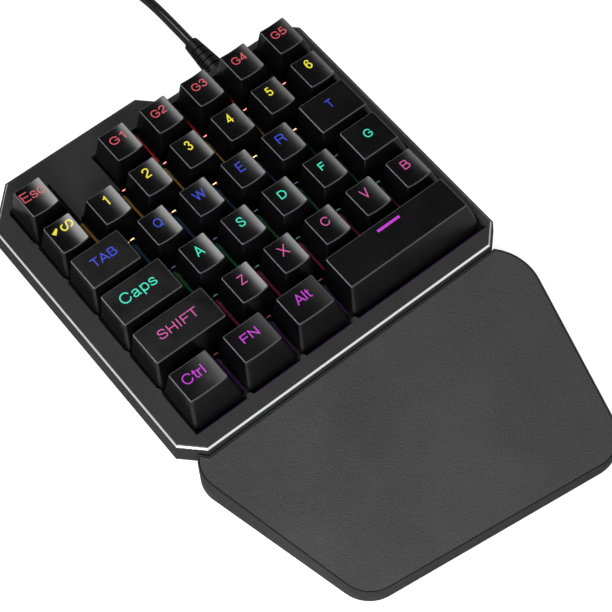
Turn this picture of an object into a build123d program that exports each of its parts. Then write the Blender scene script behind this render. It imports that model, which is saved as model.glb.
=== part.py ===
from build123d import *
import math
import os

# One-handed gaming keyboard with a fixed wrist rest, a sprung key field and a USB lead.
# Drawing frame: x from the left edge of the key field, y from the middle of the rear key row
# with the user towards -y, z up from the desk. The last step centres the model on its origin.

# Shared values
overrun = 5.0
pitch = 19.05
columns = 7
rows = 6
travel = 3.5

# Heights above the desk
pad_drop = 1.0
floor_thickness = 2.0
parting_height = 8.7
bezel_height = 17.0
key_base_height = 16.0
deck_height = 12.0

# Key field: each row as pairs of a name and a width in pitches, from the left
rear_row_shares = ((None, 1.0), ("g1", 1.0), ("g2", 1.0), ("g3", 1.0), ("g4", 1.0), ("g5", 1.0))
key_row_shares = (
    (("esc", 1.0),) + rear_row_shares,
    (("backtick", 1.0), ("1", 1.0), ("2", 1.0), ("3", 1.0), ("4", 1.0), ("5", 1.0), ("6", 1.0)),
    (("tab", 1.5), ("q", 1.0), ("w", 1.0), ("e", 1.0), ("r", 1.0), ("t", 1.5)),
    (("caps", 1.75), ("a", 1.0), ("s", 1.0), ("d", 1.0), ("f", 1.0), ("g", 1.25)),
    (("shift", 2.0), ("z", 1.0), ("x", 1.0), ("c", 1.0), ("v", 1.0), ("b", 1.0)),
    (("ctrl", 1.25), ("fn", 1.25), ("alt", 1.25), ("space", 3.25)),
)
flat_keys = ("tab", "caps", "shift", "t", "g", "space")

# Keycap heights above their own base, and how far each row's top leans back, rear row first
row_heights = (12.0, 10.75, 10.55, 9.85, 9.6, 10.7)
row_leans = (1.6, 1.8, 2.1, 2.6, 2.4, 1.6)
front_row_reach = 1.4
cap_gap = 1.0
cap_side_slope = 3.4
cap_top_depth = 13.3
flat_cap_extra_depth = 1.6
cap_wall = 1.3
cap_roof = 1.6
cap_top_corner = 1.2
cap_base_corner = 2.0
cap_inner_corner = 0.5
dish_depth = 0.55
wide_dish_depth = 0.35
stem_width = 3.2
stem_depth = 4.6
stem_seat = 3.0

# Plungers and the guide towers they slide in
plunger_width = 6.5
plunger_clearance = 0.25
plunger_top_height = 20.5
plunger_bottom_height = 14.6
tower_wall = 1.0
tower_height = 4.6

# Key deck
deck_thickness = 2.0
deck_margin = 1.1
deck_edge_gap = 0.35
deck_fit = 0.25
rib_thickness = 0.4
rib_height = 3.5
rib_end_setback = 1.5

# Case outline: borders from the key field to the bezel's top edge, and corner chamfers
left_border = 7.2
right_border = 2.2
rear_border = 2.0
front_border = 8.6
rear_step = 7.8
rear_step_place = 66.2
front_left_chamfer = 7.4
front_right_chamfer = 6.8
rear_left_chamfer = 14.4
rear_right_chamfer = 4.8

# Case section
trim_width = 0.95
trim_drop = 1.15
ledge_width = 0.45
wall_flare = 0.6
base_tuck = 1.5
case_wall = 1.8
plate_thickness = 2.0
roof_thickness = 1.7
lip_thickness = 1.5
opening_gap = 0.5
opening_front_gap = 2.0
opening_corner_cut = 1.6
panel_tooth = 1.6
tooth_width = 3.0
tooth_height = 0.7
front_tooth_height = 1.6

# Layers under the deck
dome_sheet_thickness = 0.6
dome_base_width = 6.4
dome_top_width = 4.4
dome_rise_gap = 0.3
membrane_thickness = 0.4
backing_thickness = 1.0
light_board_thickness = 1.0
layer_inset = 1.0
rear_layer_inset = 3.0
led_width = 3.2
led_depth = 2.8
led_height = 0.8
led_clearance = 0.3
led_back = 6.0

# Controller board
board_length = 44.0
board_depth = 22.0
board_thickness = 1.2
board_standoff = 1.0
board_place = 67.0
board_back_gap = 5.0
chip_width = 9.0
chip_height = 1.0
socket_length = 10.0
socket_depth = 5.0
socket_height = 1.8

# Screws
screw_diameter = 2.0
screw_head_diameter = 3.6
screw_head_height = 1.2
screw_socket_width = 1.4
screw_bite = 4.0
screw_hole_clearance = 0.15
boss_diameter = 5.2
boss_setback = 0.1
boss_front_cut = 0.9
stack_boss_diameter = 6.0
stack_bite = 1.4
rest_screw_spacing = 42.0
rest_screw_bite = 3.0
board_post_diameter = 4.0

# Stabiliser wires under the widest keys
wire_diameter = 1.2
wire_arm = 9.0
wire_back = 5.6
wire_tip = 2.2
wire_height = 4.0
shift_wire_half_span = 11.9
space_wire_half_span = 22.0
wire_running_clearance = 0.08
clip_width = 2.5
clip_wall = 0.8
clip_inset = 3.0
hook_wall = 0.8
hook_clearance = 0.3
hook_thickness = 1.2
hook_slide = 0.6
hook_side_gap = 0.3

# Wrist rest
rest_left_corner_in = 9.6
rest_right_corner_in = 16.9
rest_left_depth = 75.9
rest_right_depth = 90.6
rest_left_reach = 10.7
rest_right_reach = 8.8
rest_tuck = 3.9
rest_rear_height = 14.7
rest_front_height = 7.9
rest_rear_left_radius = 12.0
rest_rear_right_radius = 20.0
rest_front_radius = 13.5
rest_case_clearance = 0.2
rest_wall = 2.2
rest_rim = 0.5
rest_seam = 0.3
rest_plate_thickness = 2.0
rest_tab_width = 18.0
rest_tab_length = 14.0
rest_tab_thickness = 2.4
rest_tab_clearance = 0.25
rest_tab_root = 6.0
rest_tab_roof = 1.4
rest_rib_thickness = 1.2
rest_rib_spacing = 24.0

# Folding feet
foot_width = 26.0
foot_length = 17.0
foot_thickness = 3.2
foot_pivot_diameter = 3.2
foot_pin_diameter = 2.0
foot_pin_length = 1.6
foot_pin_clearance = 0.06
foot_side_gap = 0.4
foot_end_gap = 0.5
foot_pocket_wall = 1.6
foot_inset = 22.0
foot_back = 12.0
foot_tread = 0.6

# Rubber pads
pad_diameter = 10.0
pad_recess = 0.6
pad_case_inset = 8.0
pad_rear_inset = 4.4

# Strain relief
relief_place = 102.0
relief_height = 9.0
relief_length = 19.0
relief_wide = 9.8
relief_tall = 7.4
relief_tip_diameter = 6.2
relief_neck_diameter = 5.4
relief_flange_width = 9.0
relief_flange_height = 5.6
relief_flange_thickness = 1.2
relief_neck_clearance = 0.15
relief_wall_gap = 0.05
relief_rib_count = 6
relief_rib_depth = 0.7
relief_rib_share = 0.55
relief_ribbed_share = 0.8

# Lead: its free stretch is a route of points chosen by hand in the drawing frame
lead_diameter = 4.0
lead_route = (
    (102.0, 41.0, 9.0),
    (101.6, 55.0, 6.1),
    (101.2, 69.0, 3.0),
    (100.8, 83.0, 2.7),
    (101.6, 98.0, 2.7),
    (101.6, 110.0, 2.7),
)
lead_bend_share = 0.45

# Put-away coil of the lead
coil_pitch = 4.5
coil_rise = 4.6
coil_climb_inset = 0.8
coil_layer_turns = 5
coil_outer_radius = 34.0
tail_drop_length = 30.0
tail_end_straight = 6.0

# Tie round the coil
tie_width = 5.0
tie_thickness = 0.6
tie_gap = 0.1

# USB plug on the end of the lead
plug_length = 24.0
plug_width = 15.0
plug_height = 8.0
plug_corner = 2.0
plug_sleeve_length = 8.0
plug_sleeve_diameter = 6.0
shell_length = 18.8
shell_inside = 7.0
shell_width = 12.0
shell_height = 4.5
shell_wall = 0.35
tongue_height = 1.8

# Lengths that follow from the values above
field_width = columns * pitch
field_depth = rows * pitch
field_rear = pitch / 2
field_front = field_rear - field_depth
deck_underside = deck_height - deck_thickness
ledge_height = bezel_height - trim_drop
ledge_offset = trim_width + ledge_width
parting_offset = ledge_offset + wall_flare
floor_top = pad_drop + floor_thickness
dome_sheet_top = deck_underside
dome_sheet_bottom = dome_sheet_top - dome_sheet_thickness
membrane_bottom = dome_sheet_bottom - membrane_thickness
backing_bottom = membrane_bottom - backing_thickness
light_board_bottom = backing_bottom - light_board_thickness
tower_inner_width = plunger_width + 2 * plunger_clearance
tower_outer_width = tower_inner_width + 2 * tower_wall
front_reach = front_row_reach
opening_offset = opening_gap - cap_gap / 2
opening_front = field_front - front_reach - opening_front_gap + cap_gap / 2
wire_axis_height = deck_height + wire_height
screw_head_low = pad_drop + screw_hole_clearance
hole_diameter = screw_diameter + 2 * screw_hole_clearance
foot_pivot_height = pad_drop + foot_pivot_diameter / 2
wire_half_spans = {"shift": shift_wire_half_span, "space": space_wire_half_span}
wire_half_angle = math.asin(travel / 2 / wire_arm)
bezel_front = field_front - front_border
case_front = bezel_front - parting_offset


# Small helpers
def box(low, high):
    """A block between two opposite corners."""
    size = [high[i] - low[i] for i in range(3)]
    middle = [(high[i] + low[i]) / 2 for i in range(3)]
    return Pos(*middle) * Box(*size)


def post(x, y, low, high, diameter):
    """An upright round post."""
    return Pos(x, y, (low + high) / 2) * Cylinder(diameter / 2, high - low)


def frustum(low_face, high_face):
    """A solid with straight sides between two like outlines."""
    return loft([low_face, high_face], ruled=True)


def at_height(face, height):
    """The same outline at another height."""
    return Pos(0, 0, height) * face


def prism(face, low, high):
    """An outline drawn at zero height, raised between two heights."""
    return extrude(at_height(face, low), high - low)


def grown(face, amount):
    """An outline moved outwards with its corners kept sharp."""
    return offset(face, amount, kind=Kind.INTERSECTION) if amount else face


# Key places
def key_table():
    """Name, row, width in pitches and centre of each key, rear row first."""
    table = []
    for row, keys in enumerate(key_row_shares):
        left = 0
        for name, share in keys:
            if name is not None:
                middle = (left + share / 2) * pitch
                table.append((name, row, share, middle, -row * pitch))
            left += share
    return table


keys = key_table()
last_row = rows - 1


def key_named(wanted):
    """The table line of one key."""
    return [key for key in keys if key[0] == wanted][0]


def row_joints(row):
    """The x of each boundary between two neighbouring keys of a row."""
    places = []
    left = 0
    before = None
    for name, share in key_row_shares[row]:
        if name is not None and before is not None:
            places.append(left * pitch)
        left += share
        before = name
    return places


# Outlines, drawn at zero height
def case_outline():
    """The bezel's top edge, with its chamfered corners and the step at the rear."""
    left = -left_border
    right = field_width + right_border
    front = bezel_front
    rear = field_rear + rear_border
    high_rear = rear + rear_step
    points = (
        (left + front_left_chamfer, front),
        (right - front_right_chamfer, front),
        (right, front + front_right_chamfer),
        (right, rear - rear_right_chamfer),
        (right - rear_right_chamfer, rear),
        (rear_step_place + rear_step, rear),
        (rear_step_place, high_rear),
        (left + rear_left_chamfer, high_rear),
        (left, high_rear - rear_left_chamfer),
        (left, front + front_left_chamfer),
    )
    return make_face(Polyline(*points, close=True))


def opening_outline():
    """The key opening: the field with the panel beside the escape key left out."""
    left = -opening_offset
    right = field_width + opening_offset
    rear = field_rear + opening_offset
    panel_left = pitch + opening_offset
    panel_right = 2 * pitch - opening_offset
    panel_front = field_rear - pitch + opening_offset
    points = (
        (left, opening_front),
        (right, opening_front),
        (right, rear - opening_corner_cut),
        (right - opening_corner_cut, rear),
        (panel_right, rear),
        (panel_right, panel_front),
        (panel_left + panel_tooth, panel_front),
        (panel_left, panel_front - panel_tooth),
        (panel_left, rear),
        (left + opening_corner_cut, rear),
        (left, rear - opening_corner_cut),
    )
    return make_face(Polyline(*points, close=True))


def deck_outline():
    """The deck reaches under the lip of the opening all round."""
    side = opening_offset + deck_margin
    front = opening_front - deck_margin
    rear = field_rear + side
    sheet = Rectangle(field_width + 2 * side, rear - front)
    sheet = Pos(field_width / 2, (front + rear) / 2) * sheet
    return (sheet & grown(case_outline(), -deck_edge_gap)).face()


def layer_outline():
    """The sheets under the deck share one outline, set back at the rear for the lead."""
    width = field_width - 2 * layer_inset
    front = field_front + layer_inset
    rear = field_rear - rear_layer_inset
    return Pos(field_width / 2, (front + rear) / 2) * Rectangle(width, rear - front)


def rest_outline():
    """The wrist rest with its four rounded corners, before the case is cut out of it."""
    rear = bezel_front + rest_tuck
    points = (
        (-rest_left_reach, rear),
        (rest_left_corner_in, bezel_front - rest_left_depth),
        (field_width - rest_right_corner_in, bezel_front - rest_right_depth),
        (field_width + rest_right_reach, rear),
    )
    radii = (rest_rear_left_radius, rest_front_radius, rest_front_radius, rest_rear_right_radius)
    face = make_face(Polyline(*points, close=True))
    for point, radius in zip(points, radii):
        corner = face.vertices().sort_by_distance((point[0], point[1], 0))[0]
        face = fillet(corner, radius)
    return face


# Keys
def cap_section(width, depth, x, y, height, corner):
    """A rounded rectangle of a keycap at one height."""
    return Pos(x, y, height) * RectangleRounded(width, depth, corner)


def cap_body(base, top, base_corner, top_corner):
    """A straight-sided tapered body between two rounded rectangles."""
    return frustum(cap_section(*base, base_corner), cap_section(*top, top_corner))


def keycap(name, row, share, x, y):
    """A hollow tapered keycap with its dish and the stem that enters the plunger."""
    reach = front_row_reach if row == last_row else 0
    is_flat = name in flat_keys
    base_width = share * pitch - cap_gap
    base_depth = pitch - cap_gap + reach
    base_y = y - reach / 2
    top_width = base_width - 2 * cap_side_slope
    top_depth = cap_top_depth + (flat_cap_extra_depth if is_flat else 0)
    top_y = y + row_leans[row] + (top_depth - cap_top_depth) / 2
    top = key_base_height + row_heights[row]
    roof = top - cap_roof
    base = (base_width, base_depth, x, base_y, key_base_height)
    crown = (top_width, top_depth, x, top_y, top)
    body = cap_body(base, crown, cap_base_corner, cap_top_corner)
    inner_base = (base_width - 2 * cap_wall, base_depth - 2 * cap_wall, x, base_y, key_base_height)
    inner_top = (top_width - 2 * cap_wall, top_depth - 2 * cap_wall, x, top_y, roof)
    shell = body - cap_body(inner_base, inner_top, cap_inner_corner, cap_inner_corner)
    stem_bottom = plunger_top_height - stem_seat
    stem = box(
        (x - stem_width / 2, y - stem_depth / 2, stem_bottom),
        (x + stem_width / 2, y + stem_depth / 2, roof + cap_roof / 2),
    )
    shell += stem
    if name in wire_half_spans:
        shell += [ear & body for ear in wire_hooks(name, row, x, y)]
    if not is_flat:
        depth = dish_depth if share == 1 else wide_dish_depth
        radius = (top_width / 2) ** 2 / (2 * depth) + depth / 2
        barrel = Cylinder(radius, 2 * pitch, rotation=(90, 0, 0))
        shell -= Pos(x, y, top - depth + radius) * barrel
    return shell


def plunger(x, y):
    """The square slider under a cap, with the pocket that grips the stem."""
    half = plunger_width / 2
    body = box(
        (x - half, y - half, plunger_bottom_height),
        (x + half, y + half, plunger_top_height),
    )
    pocket = box(
        (x - stem_width / 2, y - stem_depth / 2, plunger_top_height - stem_seat),
        (x + stem_width / 2, y + stem_depth / 2, plunger_top_height + overrun),
    )
    return body - pocket


def wire_hooks(name, row, x, y):
    """Two slotted ears under a wide cap, one for each tip of its stabiliser wire."""
    half_span = wire_half_spans[name]
    lift = wire_arm * math.sin(wire_half_angle)
    tip_z = wire_axis_height + lift
    tip_y = y + wire_back - wire_arm * math.cos(wire_half_angle)
    slot_half = wire_diameter / 2 + hook_clearance
    roof = key_base_height + row_heights[row] - cap_roof / 2
    ears = []
    for side in (-1, 1):
        ear_x = x + side * (half_span - wire_diameter / 2 - hook_side_gap - hook_thickness / 2)
        ear = box(
            (ear_x - hook_thickness / 2, tip_y - slot_half - hook_slide - hook_wall,
             tip_z - slot_half - hook_wall),
            (ear_x + hook_thickness / 2, tip_y + slot_half + hook_slide + hook_wall, roof),
        )
        slot = box(
            (ear_x - hook_thickness, tip_y - slot_half - hook_slide, tip_z - slot_half),
            (ear_x + hook_thickness, tip_y + slot_half + hook_slide, tip_z + slot_half),
        )
        ears.append(ear - slot)
    return ears


def key(name, row, share, x, y):
    """One key: the cap, and the plunger fixed to its stem."""
    return [keycap(name, row, share, x, y), plunger(x, y)]


def stabiliser_wire(name):
    """A bent wire: a bar in the deck's clips, two arms, and a tip in each ear of the cap."""
    x, y = key_named(name)[3:]
    half_span = wire_half_spans[name]
    bar_y = y + wire_back
    tip_y = bar_y - wire_arm * math.cos(wire_half_angle)
    tip_z = wire_axis_height + wire_arm * math.sin(wire_half_angle)
    inner = half_span - wire_tip
    points = (
        (x - inner, tip_y, tip_z),
        (x - half_span, tip_y, tip_z),
        (x - half_span, bar_y, wire_axis_height),
        (x + half_span, bar_y, wire_axis_height),
        (x + half_span, tip_y, tip_z),
        (x + inner, tip_y, tip_z),
    )
    path = FilletPolyline(*points, radius=wire_diameter)
    start = Plane(origin=points[0], z_dir=(-1, 0, 0))
    return sweep(start * Circle(wire_diameter / 2), path=path)


def wire_clips(name):
    """Two posts on the deck with a bore for the wire's bar."""
    x, y = key_named(name)[3:]
    bar_y = y + wire_back
    bore = wire_diameter / 2 + wire_running_clearance
    reach = bore + clip_wall
    clips = []
    for side in (-1, 1):
        middle = x + side * (wire_half_spans[name] - clip_inset)
        block = box(
            (middle - clip_width / 2, bar_y - reach, deck_height - deck_thickness / 2),
            (middle + clip_width / 2, bar_y + reach, wire_axis_height + reach),
        )
        hole = Cylinder(bore, clip_width + overrun, rotation=(0, 90, 0))
        clips.append(block - Pos(middle, bar_y, wire_axis_height) * hole)
    return clips


# Key deck with its towers, ribs and light windows
def guide_tower(x, y):
    """A square sleeve on the deck."""
    half = tower_outer_width / 2
    low = (x - half, y - half, deck_underside)
    return box(low, (x + half, y + half, deck_height + tower_height))


def guide_bore(x, y):
    """The square bore through the sleeve and the deck."""
    half = tower_inner_width / 2
    low = (x - half, y - half, deck_underside - overrun)
    return box(low, (x + half, y + half, deck_height + tower_height + overrun))


def light_rib(x, row):
    """A thin upright fin between two neighbouring keys."""
    y = -row * pitch
    half = (pitch - cap_gap) / 2 - rib_end_setback
    return box(
        (x - rib_thickness / 2, y - half, deck_height - deck_thickness / 2),
        (x + rib_thickness / 2, y + half, deck_height + rib_height),
    )


def key_deck():
    """The plate that carries all guide towers, fins and clips."""
    deck = prism(deck_outline(), deck_underside, deck_height)
    towers = [guide_tower(x, y) for name, row, share, x, y in keys]
    ribs = [light_rib(x, row) for row in range(rows) for x in row_joints(row)]
    clips = wire_clips("shift") + wire_clips("space")
    deck = deck + towers + ribs + clips
    deck -= [guide_bore(x, y) for name, row, share, x, y in keys]
    deck -= stack_holes(deck_underside - overrun, deck_underside + stack_bite, screw_diameter)
    low = deck_underside - overrun
    kept = prism(grown(opening_outline(), -deck_fit), low, deck_height + overrun)
    for x, y in case_screw_points():
        deck -= post(x, y, low, deck_height + overrun, boss_diameter + 2 * deck_fit) - kept
    return deck - relief_notch()


# Rubber domes and the flat layers
def dome_sheet():
    """A rubber sheet with one hollow dome under each plunger."""
    rise = plunger_bottom_height - dome_rise_gap - dome_sheet_top
    sheet = prism(layer_outline(), dome_sheet_bottom, dome_sheet_top)
    cone = Cone(dome_base_width / 2, dome_top_width / 2, rise)
    wall = dome_sheet_thickness
    inner = Cone(dome_base_width / 2 - wall, dome_top_width / 2 - wall, rise)
    domes = []
    hollows = []
    for name, row, share, x, y in keys:
        domes.append(Pos(x, y, dome_sheet_top + rise / 2) * cone)
        hollows.append(Pos(x, y, dome_sheet_top + rise / 2 - wall) * inner)
    sheet = sheet + domes
    sheet -= hollows
    sheet -= stack_holes(dome_sheet_bottom - overrun, dome_sheet_top + overrun, hole_diameter)
    return sheet


def stack_points():
    """Where the screws pass through the layers: corners shared by four keys."""
    rear_y = -3 * pitch / 2
    front_y = rear_y - (rows - 3) * pitch
    places = []
    for column in (1, 3, columns - 1):
        places.append((column * pitch, rear_y))
        places.append((column * pitch + pitch / 2, front_y))
    return places


def stack_holes(low, high, diameter):
    """Round holes or posts at each layer screw."""
    return [post(x, y, low, high, diameter) for x, y in stack_points()]


def membrane():
    """The printed switch membrane."""
    sheet = prism(layer_outline(), membrane_bottom, dome_sheet_bottom)
    return sheet - stack_holes(membrane_bottom - overrun, deck_height, hole_diameter)


def led_block(x, y, low, high, clearance):
    """The space of one light, which sits behind its key's plunger."""
    half_w = led_width / 2 + clearance
    half_d = led_depth / 2 + clearance
    middle = y + led_back
    return box((x - half_w, middle - half_d, low), (x + half_w, middle + half_d, high))


def backing_plate():
    """The stiff plate that backs the membrane, with a window for each light."""
    plate = prism(layer_outline(), backing_bottom, membrane_bottom)
    plate -= stack_holes(backing_bottom - overrun, deck_height, hole_diameter)
    windows = []
    for name, row, share, x, y in keys:
        low = backing_bottom - overrun
        windows.append(led_block(x, y, low, membrane_bottom + overrun, led_clearance))
    return plate - windows


def light_board():
    """The board under the plate and its surface-mount lights."""
    board = prism(layer_outline(), light_board_bottom, backing_bottom)
    board -= stack_holes(light_board_bottom - overrun, deck_height, hole_diameter)
    lights = []
    for name, row, share, x, y in keys:
        lights.append(led_block(x, y, backing_bottom, backing_bottom + led_height, 0))
    return [board] + lights


# Controller board
def controller_board():
    """The board behind the lead's entry, with its main chip and the lead's socket."""
    rear = field_rear - board_back_gap
    front = rear - board_depth
    low = floor_top + board_standoff
    high = low + board_thickness
    half = board_length / 2
    board = box((board_place - half, front, low), (board_place + half, rear, high))
    chip = box(
        (board_place - chip_width / 2, front + chip_width / 2, high),
        (board_place + chip_width / 2, front + 3 * chip_width / 2, high + chip_height),
    )
    socket_right = board_place + half - chip_height
    socket = box(
        (socket_right - socket_length, rear - socket_depth, high),
        (socket_right, rear, high + socket_height),
    )
    return [board, chip, socket]


# Top cover and trim
def cover_wall(inset, low, high):
    """The flared side wall between two heights, moved inwards by an inset."""
    span = ledge_height - parting_height

    def spread(height):
        return ledge_offset + wall_flare * (ledge_height - height) / span - inset

    outline = case_outline()
    low_face = at_height(grown(outline, spread(low)), low)
    high_face = at_height(grown(outline, spread(high)), high)
    return frustum(low_face, high_face)


def teeth(low, high):
    """Small teeth that reach towards the gaps between the outer keys."""
    front = opening_front
    tip = opening_front + front_tooth_height
    left = -opening_offset
    right = field_width + opening_offset
    half = tooth_width / 2
    root = tooth_height
    shapes = []
    for x in row_joints(last_row):
        points = ((x - half, front - root), (x - half, front), (x - root, tip),
                  (x + root, tip), (x + half, front), (x + half, front - root))
        shapes.append(make_face(Polyline(*points, close=True)))
    for row in range(1, rows):
        y = field_rear - row * pitch
        for edge, inward in ((left, 1), (right, -1)):
            inner = edge + inward * root
            outer = edge - inward * root
            points = ((outer, y - half), (edge, y - half), (inner, y - root),
                      (inner, y + root), (edge, y + half), (outer, y + half))
            shapes.append(make_face(Polyline(*points, close=True)))
    return [prism(shape, low, high) for shape in shapes]


def top_cover():
    """The bezel shell: plate, side wall, the lip round the key opening and screw bosses."""
    outline = case_outline()
    opening = opening_outline()
    roof_low = ledge_height - roof_thickness
    plate_low = bezel_height - plate_thickness
    cover = cover_wall(0, parting_height, ledge_height)
    cover += prism(outline, ledge_height - plate_thickness, bezel_height)
    cover -= cover_wall(case_wall, parting_height - wall_flare, roof_low)
    cover -= prism(grown(outline, -case_wall), roof_low - overrun, plate_low)
    lip = (grown(opening, lip_thickness) & outline).face()
    cover += prism(lip, deck_height, bezel_height - plate_thickness / 2)
    cover -= deck_clearance_cut()
    for x, y in case_screw_points():
        cover += post(x, y, parting_height, plate_low + plate_thickness / 2, boss_diameter)
    cover -= prism(opening, parting_height - overrun, bezel_height + overrun)
    cover += teeth(plate_low, bezel_height)
    pilot_top = parting_height + screw_bite
    for x, y in case_screw_points():
        cover -= post(x, y, parting_height - overrun, pilot_top, screw_diameter)
    cover -= relief_entry()
    return cover


def deck_clearance_cut():
    """Keeps the wall and the lip clear of the deck and its layers."""
    outline = grown(deck_outline(), deck_fit)
    return prism(outline, parting_height - overrun, deck_height)


def trim_band():
    """The bright sloping band round the bezel's edge."""
    outline = case_outline()
    low = at_height(grown(outline, trim_width), ledge_height)
    band = frustum(low, at_height(outline, bezel_height))
    return band - prism(outline, ledge_height - overrun, bezel_height + overrun)


# Bottom case
def tray(inset, low, high):
    """The tapering lower body between two heights, moved inwards by an inset."""
    span = parting_height - pad_drop

    def spread(height):
        return parting_offset - (parting_offset + base_tuck) * (parting_height - height) / span

    outline = case_outline()
    low_face = at_height(grown(outline, spread(low) - inset), low)
    high_face = at_height(grown(outline, spread(high) - inset), high)
    return frustum(low_face, high_face)


def case_screw_points():
    """Screws down the left side, along the front and in the deep rear corner."""
    step = opening_offset + boss_diameter / 2 + boss_setback
    left = -step
    front = opening_front - boss_diameter / 2 + boss_front_cut
    rear = field_rear + step + lip_thickness
    middle = field_width / 2
    return (
        (left, field_front + pitch / 2),
        (left, -field_depth / 2 + pitch / 2),
        (left, -pitch / 2),
        (pitch, rear),
        (rear_step_place - rear_step, rear),
        (front_left_chamfer, front),
        (middle - rest_screw_spacing / 2, front),
        (middle + rest_screw_spacing / 2, front),
        (field_width - front_right_chamfer, front),
    )


def rest_screw_points():
    """Screws that hold the wrist rest's tabs, in a line behind the case's front edge."""
    y = rest_tab_line()
    middle = field_width / 2
    return [(middle + step * rest_screw_spacing, y) for step in (-1, 0, 1)]


def rest_tab_line():
    """The y of the tab screws."""
    return bezel_front + base_tuck + rest_tab_length / 2 + rest_tab_width / 4


def foot_places():
    """Middle x and pivot y of each folding foot."""
    pivot_y = field_rear - foot_back
    return ((foot_inset, pivot_y), (field_width - foot_inset, pivot_y))


def foot_pocket(x, y, wall):
    """The block of space round a folded foot, grown by a wall."""
    half = foot_width / 2 + foot_pin_length + foot_side_gap + wall
    radius = foot_pivot_diameter / 2
    front = y - foot_length - foot_end_gap - wall
    rear = y + radius + foot_end_gap + wall
    top = pad_drop + foot_thickness + foot_end_gap + wall
    return box((x - half, front, pad_drop), (x + half, rear, top))


def foot_space(x, y):
    """The pocket that a foot folds into, narrow enough for its pins to find their bores."""
    half = foot_width / 2 + foot_side_gap
    radius = foot_pivot_diameter / 2
    front = y - foot_length - foot_end_gap
    rear = y + radius + foot_end_gap
    top = pad_drop + foot_thickness + foot_end_gap
    space = box((x - half, front, pad_drop - overrun), (x + half, rear, top))
    bore = foot_pin_diameter / 2 + foot_pin_clearance
    reach = foot_width + 2 * foot_pin_length + foot_side_gap
    hole = Cylinder(bore, reach, rotation=(0, 90, 0))
    return space + Pos(x, y, foot_pivot_height) * hole


def pad_points():
    """Pads near the corners of the case and of the wrist rest."""
    case_left = pad_case_inset
    case_right = field_width - pad_case_inset
    case_rear = field_rear - pad_rear_inset
    case_front = field_front + pad_diameter
    rest_front = bezel_front - rest_left_depth + 2 * pad_diameter
    rest_rear = bezel_front - 2 * pad_diameter
    return (
        (case_left, case_rear + rear_step / 2),
        (case_right, case_rear),
        (case_left, case_front),
        (case_right, case_front),
        (case_left, rest_rear),
        (case_right, rest_rear),
        (rest_left_corner_in + 2 * pad_diameter, rest_front),
        (field_width - rest_right_corner_in - 2 * pad_diameter, rest_front),
    )


def rubber_pads():
    """Round pads set into the underside, which are also the shape of their seats."""
    return [post(x, y, 0, pad_drop + pad_recess, pad_diameter) for x, y in pad_points()]


def counterbored(x, y, top):
    """A screw's clearance hole with its head's seat below."""
    seat = screw_head_low + screw_head_height
    hole = post(x, y, 0, top + overrun, hole_diameter)
    head = post(x, y, 0, seat, screw_head_diameter + 2 * screw_hole_clearance)
    return hole + head


def bottom_case():
    """The lower tray: tapering walls, floor, bosses, foot pockets and tab recesses."""
    case = tray(0, pad_drop, parting_height)
    case -= tray(case_wall, floor_top, parting_height + wall_flare)
    for x, y in case_screw_points():
        case += post(x, y, pad_drop, parting_height, boss_diameter)
    for x, y in stack_points():
        case += post(x, y, pad_drop, light_board_bottom, stack_boss_diameter)
    for x, y in rest_screw_points():
        case += post(x, y, pad_drop, light_board_bottom, boss_diameter)
        case += rest_tab_pocket(x)
    for x, y in foot_places():
        case += foot_pocket(x, y, foot_pocket_wall)
    for x, y in board_posts():
        case += post(x, y, pad_drop, floor_top + board_standoff, board_post_diameter)
    case &= tray(0, pad_drop, parting_height)
    case -= [counterbored(x, y, parting_height) for x, y in case_screw_points()]
    case -= [counterbored(x, y, light_board_bottom) for x, y in stack_points()]
    case -= [foot_space(x, y) for x, y in foot_places()]
    case -= [rest_tab_space(x) for x, y in rest_screw_points()]
    pilot_top = pad_drop + rest_tab_thickness + rest_screw_bite
    for x, y in rest_screw_points():
        case -= post(x, y, 0, pilot_top, screw_diameter)
    case -= rubber_pads()
    case -= relief_entry()
    return case


def board_posts():
    """Short posts that carry the controller board."""
    rear = field_rear - board_back_gap - board_post_diameter
    front = rear - board_depth + 2 * board_post_diameter
    half = board_length / 2 - board_post_diameter
    sides = (board_place - half, board_place + half)
    return [(x, y) for x in sides for y in (front, rear)]


# Fasteners
def screw(x, y, head_low, tip):
    """A pan-head screw driven from below, with a square socket in its head."""
    head_top = head_low + screw_head_height
    body = post(x, y, head_low, head_top, screw_head_diameter)
    body += post(x, y, head_top, tip, screw_diameter)
    half = screw_socket_width / 2
    depth = head_low + screw_head_height / 2
    return body - box((x - half, y - half, 0), (x + half, y + half, depth))


def screw_group(points, head_low, tip):
    """The same screw at each place."""
    return [screw(x, y, head_low, tip) for x, y in points]


# Folding feet
def folding_foot(x, y):
    """A foot with its pivot barrel, two pins and three treads across its tip."""
    half = foot_width / 2
    radius = foot_pivot_diameter / 2
    plate = box((x - half, y - foot_length, pad_drop), (x + half, y, pad_drop + foot_thickness))
    barrel = Cylinder(radius, foot_width, rotation=(0, 90, 0))
    pins = Cylinder(foot_pin_diameter / 2, foot_width + 2 * foot_pin_length, rotation=(0, 90, 0))
    foot = plate + Pos(x, y, foot_pivot_height) * barrel + Pos(x, y, foot_pivot_height) * pins
    foot -= post(x, y - foot_length, pad_drop, pad_drop + foot_thickness, foot_thickness * 2)
    for step in (-1, 1):
        tread_x = x + step * half / 2
        foot -= box(
            (tread_x - foot_tread / 2, y - foot_length - overrun, pad_drop),
            (tread_x + foot_tread / 2, y - foot_length + foot_tread, pad_drop + foot_thickness),
        )
    return foot


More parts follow.
